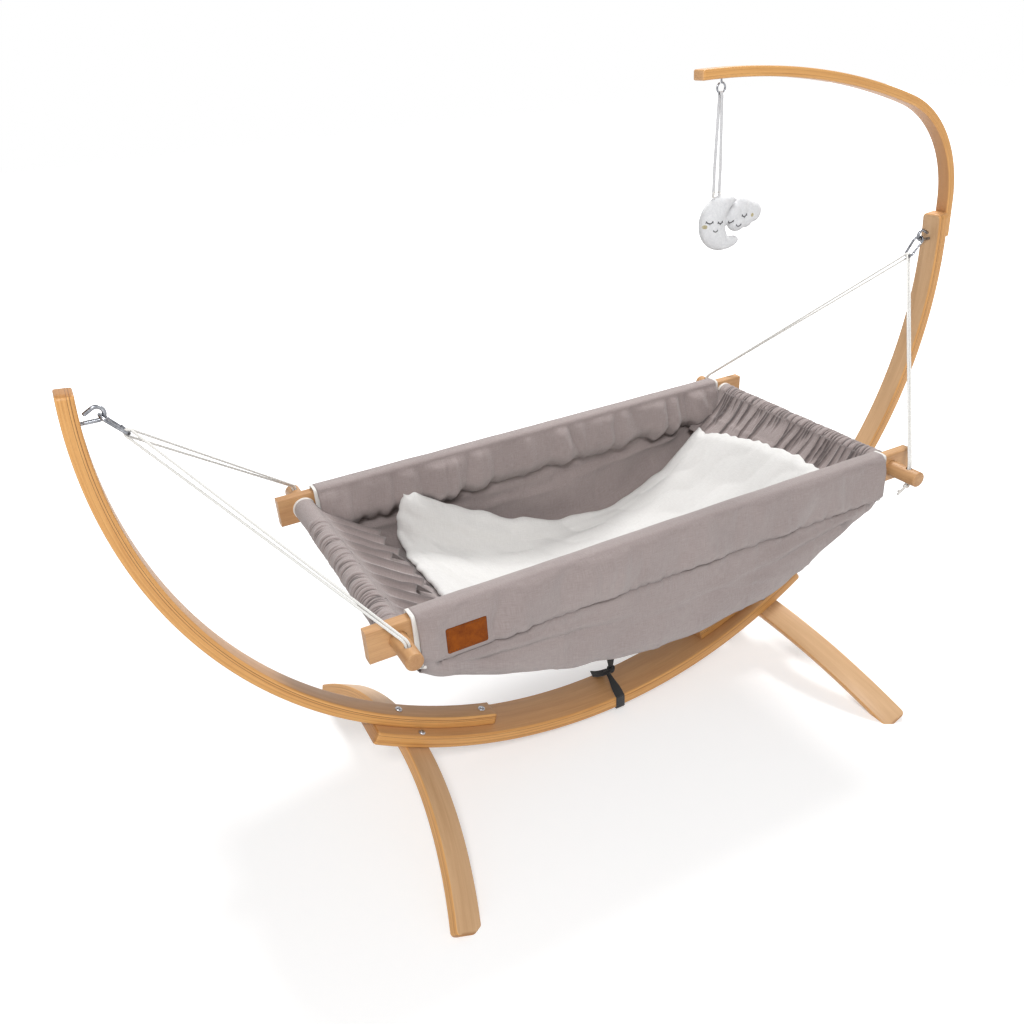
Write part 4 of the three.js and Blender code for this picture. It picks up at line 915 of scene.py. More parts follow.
# Screw eye under the mobile arm
eye = {"wire": 0.0015, "radius": 0.008, "x": 0.2519, "z": 1.1606, "face": 1.1746, "shank": 0.011}
eyeLine = [Vector((eye["x"], 0, eye["face"] + eye["shank"]))]
eyeLine += arcXZ((eye["x"], eye["z"]), eye["radius"], 90, -244, 48)
eyeLine = softened(evenly(eyeLine, 0.0006), 4)
bm = bmesh.new()
drawTube(bm, eyeLine, eye["wire"], 16)
addPiece("mobile_eye_wire", toMesh("eye", bm), zincSteel, "stand", ["mobile_eye"], 60)

for name, node in cadNodes.items():  # nuts keep their modelled shape
    if "_nut_" in name:
        for slotAt in node.material_slots:
            slotAt.material = zincSteel
print("fasteners made")

# Rails keep their modelled shape; dowels are turned with a cross hole near each end
for name in ("near_rail", "far_rail"):
    for slotAt in cadNodes[name].material_slots:
        slotAt.material = railWood


def makeDowel(dowel):
    half = dowel["length"] / 2
    r, e = dowel["radius"], dowel["edge"]
    outline = [(0, -half), (r - e, -half)]
    outline += [(r - e + e * math.sin(math.pi / 2 * i / 4), -half + e - e * math.cos(math.pi / 2 * i / 4))
                for i in range(1, 5)]
    outline += [(x, -z) for x, z in reversed(outline)]
    bm = turned(outline, 56)
    turn = frameAt(Vector((dowel["x"], 0, dowel["z"])), Vector((0, 1, 0)), Vector((1, 0, 0)))
    bmesh.ops.transform(bm, matrix=turn, verts=bm.verts)
    return toMesh("dowel", bm)


def drilled(mesh, cutter):  # the mesh less the cutter's volume
    body = bpy.data.objects.new("drillBody", mesh)
    tool = bpy.data.objects.new("drillTool", cutter)
    scene.collection.objects.link(body)
    scene.collection.objects.link(tool)
    cut = body.modifiers.new("cut", "BOOLEAN")
    cut.operation = "DIFFERENCE"
    cut.solver = "EXACT"
    cut.object = tool
    bpy.context.view_layer.update()
    result = bpy.data.meshes.new_from_object(body.evaluated_get(bpy.context.evaluated_depsgraph_get()))
    bpy.data.objects.remove(body)
    bpy.data.objects.remove(tool)
    return result


bm = bmesh.new()
for y in (-dowel["holeY"], dowel["holeY"]):
    bmesh.ops.create_cone(bm, cap_ends=True, segments=28, radius1=dowel["hole"], radius2=dowel["hole"],
                          depth=0.05, matrix=Matrix.Translation((dowel["x"], y, dowel["z"])))
dowelMesh = drilled(makeDowel(dowel), toMesh("drill", bm))
for sideName, turn in ends.items():
    mesh = dowelMesh.copy()
    mesh.transform(turn)
    addPiece(f"{sideName}_dowel_rod", mesh, dowelWood, "bed", [f"{sideName}_dowel"], 30)
print("dowels drilled")

# Sling: the cloth's underside, as heights over the middle line and along the side walls
sling = {"cloth": 0.003, "channelHalf": 0.456, "hemZ": 0.459, "middleZ": 0.262, "wallZ": 0.308,
         "wallRise": 0.117, "corner": 0.046, "endRiseDeg": 45, "floorPower": 2.2, "railFoot": 0.4905,
         "wallY": 0.2485, "innerY": 0.2215, "top": 0.5485, "shoulder": 0.006, "pleat": 0.036}
patch = {"left": -0.415, "width": 0.066, "height": 0.044, "top": 0.514, "corner": 0.003, "thickness": 0.0016,
         "stitch": 0.0027, "pitch": 0.0042, "inset": 0.0032, "stand": 0.005}
sleeve = {"inner": 0.0145, "cloth": 0.0034, "ruche": 0.0017}
endReach = sleeve["inner"] + sleeve["cloth"] + sleeve["ruche"] + seatGap + sling["cloth"]
endRise = math.radians(sling["endRiseDeg"])
bedEndX = dowel["x"] - endReach * math.sin(endRise)
bedEndZ = dowel["z"] - endReach * math.cos(endRise)
risePower = math.tan(endRise) * bedEndX / (bedEndZ - sling["middleZ"])
flatY = sling["wallY"] - sling["corner"]


def bedZ(x, y):
    middle = sling["middleZ"] + (bedEndZ - sling["middleZ"]) * (abs(x) / bedEndX) ** risePower
    side = sling["wallZ"] + sling["wallRise"] * (x / sling["channelHalf"]) ** 2
    across = abs(y) / sling["wallY"]
    return middle + (side - middle) * across ** sling["floorPower"]


def bedLine(x):  # the cloth's outer side at x, from the near hem under its rail to the far one
    half = []
    for i in range(35):
        y = flatY * i / 34
        half.append((y, bedZ(x, y), "floor"))
    start = half[-1]
    slope = (start[1] - half[-2][1]) / (start[0] - half[-2][0])
    knee = (sling["wallY"], start[1] + slope * sling["corner"])
    top = (sling["wallY"], knee[1] + sling["corner"])
    for i in range(1, 7):
        t = i / 6
        y = (1 - t) ** 2 * start[0] + 2 * t * (1 - t) * knee[0] + t * t * top[0]
        z = (1 - t) ** 2 * start[1] + 2 * t * (1 - t) * knee[1] + t * t * top[1]
        half.append((y, z, "corner"))
    shoulder = sling["shoulder"]
    wallTop = sling["top"] - shoulder
    seam = sling["hemZ"]
    marks = [(top[1], 0), (max(top[1] + 0.004, seam - 0.009), 12), (max(top[1] + 0.01, seam + 0.009), 9),
             (wallTop, 9)]
    for (low, _), (high, count) in zip(marks, marks[1:]):
        half += [(sling["wallY"], low + (high - low) * i / count, "wall") for i in range(1, count + 1)]
    middle = (sling["wallY"] + sling["innerY"]) / 2
    for centre, first in ((sling["wallY"] - shoulder, 0), (sling["innerY"] + shoulder, 90)):
        for i in range(1, 5):
            turn = math.radians(first + 90 * i / 4)
            half.append((centre + shoulder * math.cos(turn), wallTop + shoulder * math.sin(turn), "top"))
        if first == 0:
            half += [(middle + 0.003, sling["top"], "top"), (middle - 0.003, sling["top"], "top")]
    for i in range(1, 9):
        half.append((sling["innerY"], wallTop - (wallTop - sling["railFoot"]) * i / 8, "inner"))
    for i in range(1, 7):
        t = i / 6
        half.append((sling["innerY"] + (sling["wallY"] - 0.0045 - sling["innerY"]) * t ** 1.4,
                     sling["railFoot"] + (sling["hemZ"] - sling["railFoot"]) * t, "flap"))
    return [(-y, z, kind) for y, z, kind in half[:0:-1]] + half


def swells(x, z, seed, pitch):  # upright swells with sharp valleys, calm along some stretches
    calm = 0.45 + 0.55 * easeBetween(-0.35, 0.1, wavy(x * 4.3, seed, 1))
    lean = 0.35 * wavy(x * 9, z * 14, seed)
    return calm * (ridged(x / pitch + lean, z * 5, seed) - 0.35)


def knife(t):  # a knife pleat: a quick rise, a slow fall and a step down to the next
    t -= math.floor(t)
    return easeBetween(0, 0.22, t) * (1 - 0.5 * max(0, t - 0.22) / 0.78)


tucks = [(-0.40, 0.449, -0.10, 0.44, 0.006, 0.008), (-0.42, 0.444, -0.42, 0.17, 0.0045, 0.007),
         (0.43, 0.452, 0.11, -0.38, 0.0055, 0.008), (0.42, 0.440, 0.46, -0.16, 0.0045, 0.007),
         (-0.12, 0.398, 0.05, 0.34, 0.0035, 0.006), (0.30, 0.372, -0.16, -0.30, 0.003, 0.007)]


def tuckPush(x, z):
    push = 0
    for startX, startZ, slope, reach, depth, width in tucks:
        along = (x - startX) / reach
        if 0 < along < 1:
            off = (z - startZ - slope * (x - startX)) / width
            share = easeBetween(0, 0.12, along) * (1 - easeBetween(0.5, 1, along))
            push += depth * share * (math.exp(-off ** 2) - 0.8 * math.exp(-(off + 1.7) ** 2))
    return push


def floorPleats(x, y):  # how many pleats lie before this point of the floor
    return y / sling["pleat"] + 0.5 * wavy(y * 12, x * 2, 6.1)


def slingPush(x, y, z, kind):  # how far the cloth stands out from its plain section
    side = 1 if y > 0 else -1
    seed = 3.1 if y > 0 else 7.7
    seam = sling["hemZ"]
    if kind in ("wall", "corner"):
        low = 1 - easeBetween(seam - 0.03, seam, z)
        high = easeBetween(seam, seam + 0.014, z) * (1 - 0.55 * easeBetween(0.518, 0.545, z))
        nearSeam = math.exp(-((z - seam) / 0.017) ** 2)
        push = -0.003 * math.exp(-((z - seam) / 0.0034) ** 2)
        push += 0.0042 * nearSeam * (ridged(x * 40, z * 22, seed + 1) - 0.45)
        push += high * (0.005 + 0.0145 * swells(x, z, seed, 0.07) + 0.0025 * wavy(x * 5, z * 9, seed))
        push += high * 0.003 * swells(x, z, seed + 6, 0.03)
        push += low * (0.009 * wavy(x * 5.5 + z * 4, z * 3.2, seed)
                       + 0.005 * wavy(x * 15 - z * 9, z * 9, seed + 2))
        push += (1 - high) * tuckPush(-side * x, z)
        for fold in (-0.215, -0.02, 0.16, 0.3):
            sharp = 0.5 + 0.5 * wavy(fold * 40, z * 26, seed)
            push += low * 0.0026 * sharp * math.exp(-((x - fold - 0.08 * (z - 0.4)) / 0.0044) ** 2)
        if side < 0:  # flat where the label is sewn on
            near = max(abs(x - patch["left"] - patch["width"] / 2) - patch["width"] / 2,
                       abs(z - patch["top"] + patch["height"] / 2) - patch["height"] / 2)
            push += (0.0042 - push) * (1 - easeBetween(0.002, 0.014, near))
        return push
    if kind == "floor":
        rise = easeBetween(0.2, 0.4, abs(x)) * (1 - 0.6 * easeBetween(0.44, 0.4665, abs(x)))
        pleats = knife(floorPleats(x, y))
        fine = ridged(y * 46, abs(x) * 3, seed) - 0.4
        return 0.003 * wavy(x * 8, y * 8, 1.5) - rise * (0.0105 * pleats + 0.0022 * fine)
    if kind in ("inner", "flap"):
        loose = 1 - easeBetween(0.53, 0.5445, z)
        belly = easeBetween(0.543, 0.487, z) * (1 - 0.7 * easeBetween(sling["railFoot"], seam, z))
        push = loose * (0.0046 + 0.0145 * swells(x, z, seed + 9, 0.055)
                        + 0.004 * swells(x, z, seed + 5, 0.026))
        push += 0.008 * belly
        if z < sling["railFoot"]:
            ripple = ridged(x * 42, z * 20, seed + 4) - 0.4
            push += 0.004 * ripple * easeBetween(sling["railFoot"], seam, z)
        return push
    return 0.0008 * (1 + wavy(x * 16, y * 20, seed))


# Painted shade: marks where the sling cloth is darkened, at the step of each floor pleat and along the sewn
# seam's groove on the walls and flaps
def slingCreaseShade(u, v):
    x, y, z, kind = slingLines[round(u * slingAlong)][round(v * slingCross)]
    if kind == "floor":
        t = floorPleats(x, y)
        return easeBetween(0.22, 0.4, abs(x)) * (1 - easeBetween(0, 0.2, t - math.floor(t)))
    if kind in ("wall", "flap"):
        return 0.6 * math.exp(-((z - sling["hemZ"]) / 0.0022) ** 2)
    return 0


slingCross, slingAlong = len(bedLine(0)) - 1, 250


def slingColumns():
    columns = []
    for i in range(slingAlong + 1):
        share = 2 * i / slingAlong - 1
        x = share * sling["channelHalf"]
        beyond = (bedEndX - sling["channelHalf"]) * easeBetween(0.8, 1, abs(share))
        far = share * (sling["channelHalf"] + beyond)
        columns.append([
            (far, *under) if wall[2] == "floor" and abs(wall[0]) < sling["innerY"] - 0.004 else (x, *wall)
            for wall, under in zip(bedLine(x), bedLine(far))])
    return columns


slingLines = slingColumns()


def slingPlace(u, v):
    line = slingLines[round(u * slingAlong)]
    at = round(v * slingCross)
    x, y, z, kind = line[at]
    before, after = line[max(at - 1, 0)], line[min(at + 1, slingCross)]
    tangent = Vector((0, after[1] - before[1], after[2] - before[2])).normalized()
    return Vector((x, y, z)) + Vector((0, tangent.z, -tangent.y)) * slingPush(x, y, z, kind)


slingGirth = routeLength([Vector((0, y, z)) for y, z, kind in bedLine(0)])
bm = bmesh.new()
mapGrid(bm, slingAlong, slingCross, slingPlace, (2 * sling["channelHalf"], slingGirth), slingCreaseShade)
slingMesh = toMesh("sling", bm, False)
slingPiece = addPiece("sling_cloth", slingMesh, greyCanvas, "bed", ["sling"], 75,
                      [("SOLIDIFY", {"thickness": 0.0018, "offset": -1, "use_even_offset": False})])
print("sling hung, girth", round(slingGirth, 3), "triangles", 4 * slingCross * slingAlong)

# Gathered sleeves over the dowels, each running down into a pleated flap
gather = {"length": 0.449, "radius": 0.0188, "seamDeg": -70, "leaveDeg": 151, "steps": 400, "round": 36,
          "drop": 32, "pleat": 0.039, "fold": 0.0042, "roll": 0.0011, "fullness": 1.25, "tapeWidth": 0.006,
          "tapeThickness": 0.002, "tapeShare": 0.72,
          "hem": {"right": (0.3888, 0.4525), "left": (0.358, 0.438)}}


# A point round the dowel or down the flap, its outward direction, and how far down the flap
def sleeveLine(share, hem):
    around, drop = gather["round"], gather["drop"]
    at = share * (around + drop)
    axis = Vector((dowel["x"], 0, dowel["z"]))
    leave = math.radians(gather["leaveDeg"])
    if at <= around:
        first = math.radians(gather["seamDeg"])
        turn = first + (leave - first) * at / around
        out = Vector((math.cos(turn), 0, math.sin(turn)))
        return axis + out * gather["radius"], out, 0
    start = axis + Vector((math.cos(leave), 0, math.sin(leave))) * gather["radius"]
    end = Vector((hem[0], 0, hem[1]))
    t = (at - around) / drop
    knee = start + Vector((-0.02, 0, -0.036))
    slope = (knee - start).lerp(end - knee, t).normalized()
    return start.lerp(knee, t).lerp(knee.lerp(end, t), t), Vector((-slope.z, 0, slope.x)), t


def gatherFolds(seed, y, last, reach, gaps):
    pick = random.Random(seed)
    folds = []
    while y < last:
        folds.append({"y": y, "lean": pick.uniform(-0.012, 0.022), "width": pick.uniform(0.0012, 0.0023),
                      "deep": pick.uniform(0.55, 1), "from": pick.uniform(-0.1, 0.3),
                      "to": pick.uniform(*reach), "wave": pick.uniform(0, 9)})
        y += pick.choice(gaps) * pick.uniform(0.85, 1.2)
    return folds


# The far quarter of the left sleeve lies smooth
sleeveFolds = {"right": gatherFolds(5, -0.214, 0.2, (0.5, 1.2), (0.0042, 0.006, 0.009, 0.015)),
               "left": gatherFolds(8, -0.125, 0.214, (0.42, 0.66), (0.0044, 0.005, 0.012, 0.019))}


def foldAt(folds, y, v):  # how far the cloth is drawn in by a gather, and how far it rolls up beside one
    deep, roll = 0, 0
    for fold in folds:
        middle = fold["y"] + fold["lean"] * (v - 0.4) + 0.0018 * math.sin(7 * v + fold["wave"])
        off = abs(y - middle) / fold["width"]
        if off < 5:
            start, stop = fold["from"], fold["to"]
            run = easeBetween(start - 0.12, start, v) * (1 - easeBetween(stop - 0.2, stop, v))
            deep = max(deep, fold["deep"] * run * math.exp(-off * off))
            roll = max(roll, fold["deep"] * run * math.exp(-((off - 2.6) / 1.2) ** 2))
    return deep, roll


def pleatTurns(y):
    return y / gather["pleat"] + 0.45 * wavy(y * 11, 0, 2.2)


# Painted shade: marks where the sleeve cloth is darkened, in the valleys of the gathers and, on the left
# flap, in the gaps between the pleats
def sleeveCreaseShade(u, v, sideName):
    at = v * (gather["round"] + gather["drop"])
    t = max(0, (at - gather["round"]) / gather["drop"])
    y = (u - 0.5) * gather["length"]
    deep = easeBetween(0.05, 0.6, foldAt(sleeveFolds[sideName], y, v)[0])
    if sideName == "left":
        turns = pleatTurns(y)
        gap = 1 - easeBetween(0, 0.14, turns - math.floor(turns))
        return max(deep, 0.9 * easeBetween(0.05, 0.5, t) * gap)
    return deep


def sleevePlace(u, v, sideName):
    point, out, t = sleeveLine(v, gather["hem"][sideName])
    y = (u - 0.5) * gather["length"]
    deep, roll = foldAt(sleeveFolds[sideName], y, v)
    depth = gather["roll"] * roll - gather["fold"] * deep + 0.0008 * wavy(y * 22, v * 3, 1.9)
    if sideName == "left":
        turns = pleatTurns(y)
        depth += 0.0125 * easeBetween(0.05, 0.6, t) * (knife(turns) - 0.5)
        step = 0.024 * noise.cell(Vector((math.floor(turns) + 0.5, 3.5, 1.5))) - 0.012
        point = point + Vector((-0.78, 0, -0.62)) * step * easeBetween(0.6, 1, t)
    else:
        loose = easeBetween(0, 0.5, t)
        depth += loose * (gather["roll"] * roll - 0.5 * gather["fold"] * deep
                          + 0.004 * wavy(y * 14, t * 1.4, 6.2))
        depth -= 0.0016 * math.exp(-((t - 0.62) / 0.03) ** 2)
    return Vector((0, y, 0)) + point + out * (depth + 0.0002)


for sideName, turn in ends.items():
    hem = gather["hem"][sideName]
    rows = gather["round"] + gather["drop"]
    sleeveGirth = routeLength([sleeveLine(i / rows, hem)[0] for i in range(rows + 1)])
    bm = bmesh.new()
    mapGrid(bm, gather["steps"], rows,
            lambda u, v: sleevePlace(u, v, sideName), (gather["length"] * 1.5, sleeveGirth),
            lambda u, v: sleeveCreaseShade(u, v, sideName))
    bmesh.ops.transform(bm, matrix=turn, verts=bm.verts)
    sleevePiece = addPiece(f"{sideName}_sleeve_cloth", toMesh("sleeve", bm, False), greyCanvas, "bed",
                           [f"{sideName}_sleeve"], 80,
                           [("SOLIDIFY", {"thickness": 0.0012, "offset": 0, "use_even_offset": False})])
    bm = bmesh.new()
    for end in (-1, 1):  # tape sewn round both mouths of the sleeve
        tape = []
        for i in range(51):
            point, out, t = sleeveLine(gather["tapeShare"] * i / 50, hem)
            tape.append(point + out * 0.0012 + Vector((0, end * (gather["length"] / 2 - 0.002), 0)))
        drawBand(bm, tape, gather["tapeWidth"], gather["tapeThickness"], Vector((0, 1, 0)))
    bmesh.ops.transform(bm, matrix=turn, verts=bm.verts)
    addPiece(f"{sideName}_sleeve_tape", toMesh("tape", bm), whiteTape, "bed", (), 50)
print("sleeves gathered, girth", round(sleeveGirth, 3))

# White binding round the ends of the rail channels
binding = {"x": 0.4581, "width": 0.0075, "thickness": 0.0024, "over": 0.0008}


def bindingRoute():
    over = binding["over"]
    y0, y1 = sling["innerY"] - over, sling["wallY"] + over
    top, foot, hem, r = sling["top"] + over, sling["railFoot"], sling["hemZ"], sling["shoulder"]
    route = [Vector((0, -y1, hem))]
    route += [Vector((0, -y1 + r - r * math.cos(math.pi / 2 * i / 5),
                      top - r + r * math.sin(math.pi / 2 * i / 5))) for i in range(6)]
    route += [Vector((0, -y0 - r + r * math.sin(math.pi / 2 * i / 5),
                      top - r + r * math.cos(math.pi / 2 * i / 5))) for i in range(6)]
    route += [Vector((0, -y0, foot)), Vector((0, -y1 + 0.006, hem))]
    return softened(evenly(route, 0.003), 2)


for corner, turn, flip in bedCorners:
    bm = bmesh.new()
    drawBand(bm, bindingRoute(), binding["width"], binding["thickness"], Vector((1, 0, 0)))
    lay = turn @ Matrix.Translation((binding["x"], 0, 0)) @ flip
    bmesh.ops.transform(bm, matrix=lay, verts=bm.verts)
    addPiece(f"{corner}_binding", toMesh("binding", bm), whiteTape, "bed",
             [f"{corner}_piping"], 50)

# Leather patch on the near wall, bare, with a line of stitches
patchY = -sling["wallY"] - patch["stand"]


def makePatch(patch):
    bm = bmesh.new()
    bmesh.ops.create_grid(bm, x_segments=22, y_segments=15, size=0.5)
    bmesh.ops.scale(bm, vec=(patch["width"], patch["height"], 1), verts=bm.verts)
    corners = [v for v in bm.verts if abs(v.co.x) > patch["width"] / 2 - 1e-6
               and abs(v.co.y) > patch["height"] / 2 - 1e-6]
    rounded(bm, corners, patch["corner"], 5, "VERTICES")
    rimLayer = bm.verts.layers.float.new("rim")
    for v in bm.verts:
        v[rimLayer] = 1 if v.is_boundary else 0
    raised(bm, patch["thickness"])
    bmesh.ops.recalc_face_normals(bm, faces=bm.faces)
    rim = [e for e in bm.edges if len(e.link_faces) == 2 and e.calc_face_angle() > 1
           and e.verts[0].co.z > 1e-5 and e.verts[1].co.z > 1e-5]
    rounded(bm, rim, 0.0005, 2)
    return bm


patchFrame = Matrix.Translation((patch["left"] + patch["width"] / 2, patchY,
                                 patch["top"] - patch["height"] / 2)) @ (
    Matrix.Rotation(math.pi / 2, 4, "X"))
bm = makePatch(patch)
bmesh.ops.transform(bm, matrix=patchFrame, verts=bm.verts)
addPiece("label_patch", toMesh("patch", bm), tanLeather, "bed", ["label"])


def stitchAt(bm, matrix, length, width):  # one raised stitch lying along local X
    made = bmesh.ops.create_uvsphere(bm, u_segments=6, v_segments=4, radius=0.5)
    bmesh.ops.scale(bm, vec=(length, width, width), verts=made["verts"])
    bmesh.ops.transform(bm, matrix=matrix, verts=made["verts"])


bm = bmesh.new()
halfW, halfH = patch["width"] / 2 - patch["inset"], patch["height"] / 2 - patch["inset"]
loop = [Vector((-halfW, -halfH, 0)), Vector((halfW, -halfH, 0)), Vector((halfW, halfH, 0)),
        Vector((-halfW, halfH, 0)), Vector((-halfW, -halfH, 0))]
for a, b in zip(loop, loop[1:]):
    count = round((b - a).length / patch["pitch"])
    for i in range(count):
        middle = a.lerp(b, (i + 0.5) / count)
        middle.z = patch["thickness"] + 0.0001
        lay = Matrix.Translation(middle) @ Matrix.Rotation(math.atan2(b.y - a.y, b.x - a.x), 4, "Z")
        stitchAt(bm, lay, patch["stitch"], 0.0008)
bmesh.ops.transform(bm, matrix=patchFrame, verts=bm.verts)
addPiece("label_stitches", toMesh("stitches", bm), stitchThread, "bed", (), 60)
print("bindings and label made")

# Mat: a thin quilted pad that climbs the far wall at the foot end and rises over the flap at the head end
mat = {"x": 0.046, "length": 0.728, "near": 0.192, "bendY": 0.165, "bend": 0.05, "wallY": 0.206,
       "edge": 0.004, "thickness": 0.012, "crown": 0.01, "channel": 0.05, "groove": 0.003, "lift": 0.0055,
       "headRise": 0.022, "along": 210, "across": 120}
farReach = [(-1, 0.322), (-0.9, 0.330), (-0.7, 0.318), (-0.55, 0.306), (-0.3, 0.275), (0, 0.240),
            (0.4, 0.215), (0.8, 0.205), (1, 0.2)]


def lookUp(pairs, at):
    for (a, low), (b, high) in zip(pairs, pairs[1:]):
        if at <= b:
            return low + (high - low) * easeBetween(a, b, at)
    return pairs[-1][1]


def matPlace(u, v, top):
    s, t = 2 * u - 1, 2 * v - 1
    x = mat["x"] + mat["length"] / 2 * s
    reach = t * (mat["near"] * (1 - 0.04 * s * s) if t < 0 else lookUp(farReach, s))
    edgeWave = 0.0034 * wavy(x * 30, reach * 20, 3.3)
    reach += edgeWave * abs(t) ** 8 * (1 if t > 0 else -1)
    x += 0.006 * (wavy(reach * 34, 2.2, s) + 0.5 * wavy(reach * 80, 4.2, s)) * abs(s) ** 10
    x -= 0.1 * reach * easeBetween(0.3, 1, s)
    x += 0.02 * easeBetween(0.78, 1, t) ** 2 * easeBetween(0.85, 1, -s)
    flat = min(reach, mat["bendY"])
    beyond = max(0, reach - mat["bendY"])
    arc = mat["bend"] * math.pi / 2
    turn = min(beyond, arc) / mat["bend"]
    out = mat["wallY"] - mat["bendY"]
    y = flat + out * math.sin(turn)
    rise = mat["bend"] * (1 - math.cos(turn)) + max(0, beyond - arc)
    base = bedZ(x, flat) + sling["cloth"] + mat["lift"] + rise + mat["headRise"] * easeBetween(0.72, 1, s)
    base += 0.006 * wavy(x * 5, y * 5, 2.7) + 0.005 * easeBetween(0.3, 0.8, s)
    if not top:
        return Vector((x, y, base))
    rim = min(1, (1 - abs(s)) * 16, (1 - abs(t)) * 9) ** 0.5
    wave = (x * 0.6 + reach * 0.8) / mat["channel"] + 0.22 * math.sin((x - reach) * 38)
    groove = mat["groove"] * (1 - abs(math.sin(math.pi * wave)) ** 0.6)
    crown = mat["crown"] * (1 - s * s) * (1 - t * t) + 0.008 * easeBetween(0.5, 0.85, s) * (1 - t * t)
    drape = math.atan2(reach - 0.35, x + 0.36) * 4.2
    folds = 0.005 * ridged(drape, 0.4, 2.2) * easeBetween(0.6, -0.6, s)
    pillow = 0.006 * wavy(x * 9, reach * 22, 6.6) * easeBetween(0.2, 0.8, s)
    thick = mat["edge"] + rim * (mat["thickness"] + crown - groove + folds + pillow
                                 + 0.0014 * wavy(x * 16, y * 16, 5))
    return Vector((x, y - thick * math.sin(turn), base + thick * math.cos(turn)))


bm = bmesh.new()
mapGrid(bm, mat["along"], mat["across"], lambda u, v: Vector((u, v, 0)), (mat["length"], 0.44))
upper = set(raised(bm, 0))
for v in bm.verts:
    v.co = matPlace(v.co.x, v.co.y, v in upper)
matPiece = addPiece("mat_pad", toMesh("mat", bm), whiteMuslin, "bed", ["mat"], 80)
print("mat quilted")

# Webbing strap: a loop round the base and a drop from the bed that is knotted to it
strap = {"x": 0.024, "knotX": 0.031, "width": 0.02, "thickness": 0.0017, "knotZ": 0.08, "knot": 0.0085}


def roundedLoop(corners, radius, steps=6):
    out = []
    n = len(corners)
    for i, corner in enumerate(corners):
        before, after = corners[i - 1], corners[(i + 1) % n]
        a = corner + (before - corner).normalized() * radius
        b = corner + (after - corner).normalized() * radius
        out += curved(a, corner, b, steps)
    return out + out[:1]


bowUnder, bowTop = onBow(0, bow["radius"] + bow["thickness"])[1], onBow(0, bow["radius"])[1]
strapSide = bow["width"] / 2 + 0.0005 + strap["thickness"] / 2
peakZ = strap["knotZ"] - strap["knot"] - strap["thickness"] / 2 - 0.0008
loopCorners = [Vector((strap["x"], y, z)) for y, z in (
    (-strapSide, bowUnder - 0.0013), (strapSide, bowUnder - 0.0013), (strapSide, bowTop + 0.001),
    (0.004, peakZ), (-0.004, peakZ), (-strapSide, bowTop + 0.001))]
bm = bmesh.new()
loopLine = evenly(roundedLoop(loopCorners, 0.0022), 0.004)


def loopWidth(u):  # drawn together towards the knot
    point = loopLine[round(u * (len(loopLine) - 1))]
    return 1 - 0.5 * easeBetween(bowTop + 0.008, peakZ, point.z)


drawBand(bm, loopLine, strap["width"], strap["thickness"], Vector((1, 0, 0)), loopWidth)
bmesh.ops.remove_doubles(bm, verts=bm.verts, dist=1e-6)
addPiece("strap_loop_band", toMesh("loop", bm), blackWebbing, "stand", ["strap_loop"], 50)

knotAt = Vector((strap["knotX"], 0, strap["knotZ"]))
dropTop = Vector((strap["knotX"], 0, bedZ(strap["knotX"], 0) - 0.0012))
dropLine = evenly([dropTop, knotAt + Vector((0, 0, 0.004))], 0.004)
bm = bmesh.new()
drawBand(bm, dropLine, strap["width"], strap["thickness"], Vector((1, 0, 0)),
         lambda u: 1 - 0.45 * easeBetween(0.82, 1, u))
dropPiece = addPiece("strap_drop_band", toMesh("drop", bm), blackWebbing, None,
                     ["strap_drop"], 50)
bm = bmesh.new()
# The knot: three crossing wraps and two tails
for tilt, turnDeg, grow in ((0.3, 0, 1.0), (-0.5, 60, 0.92), (0.9, 125, 0.84)):
    lay = Matrix.Rotation(math.radians(turnDeg), 3, "Z") @ Matrix.Rotation(tilt, 3, "X")
    ring = []
    for i in range(41):
        turn = 2 * math.pi * i / 40
        p = Vector((strap["knot"] * 0.86 * grow * math.cos(turn),
                    strap["knot"] * 0.72 * grow * math.sin(turn), 0))
        ring.append(knotAt + lay @ p)
    drawBand(bm, ring, 0.011, strap["thickness"] * 1.3, lay @ Vector((0, 0, 1)))
for long, rise, parting, roll in ((0.05, 0.012, -0.005, 0.5), (0.034, -0.007, 0.005, -0.3)):
    end = knotAt + Vector((-long, parting, rise))
    bend = knotAt + Vector((-long * 0.45, parting * 0.5, -rise * 0.4))
    drawBand(bm, curved(knotAt, bend, end, 14), strap["width"] * 0.72, strap["thickness"],
             Vector((0, 1, roll)).normalized(), lambda u: 0.5 + 0.5 * easeBetween(0, 0.5, u))
addPiece("strap_knot_tails", toMesh("strapKnot", bm), blackWebbing, "stand", (), 50)
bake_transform(dropPiece)
print("strap tied")

# Ribbon, moon and cloud
ribbon = {"width": 0.0065, "thickness": 0.0008, "spread": 0.0035, "drop": 0.158, "fan": 0.0056, "tab": 0.0062,
          "tabUp": 0.0058}
moon = {"radius": 0.046, "bite": 0.0365, "biteX": 0.041, "depth": 0.017, "forward": 0.005, "right": 0.01,
        "outerDegs": (61, 318), "innerDegs": (108, 253)}
cloud = {"width": 0.09, "height": 0.058, "depth": 0.013, "right": 0.06, "up": 0.004, "back": 0.013,
         "lobe": 0.019}
cloudShares = [(-0.72, 0.1, 1), (-0.3, 0.16, 1.1), (0.12, 0.4, 1), (0.72, 0.04, 0.95), (0.42, 0.22, 0.95),
               (-0.05, -0.28, 1.05), (0.36, -0.22, 0.95)]
ringRise = eye["radius"] - math.sqrt(eye["radius"] ** 2 - (ribbon["width"] / 2) ** 2)
wireTop = eye["z"] - eye["radius"] + ringRise
ribbonLow = wireTop - ribbon["drop"]
turnRadius = eye["wire"] + seatGap + ribbon["thickness"] / 2


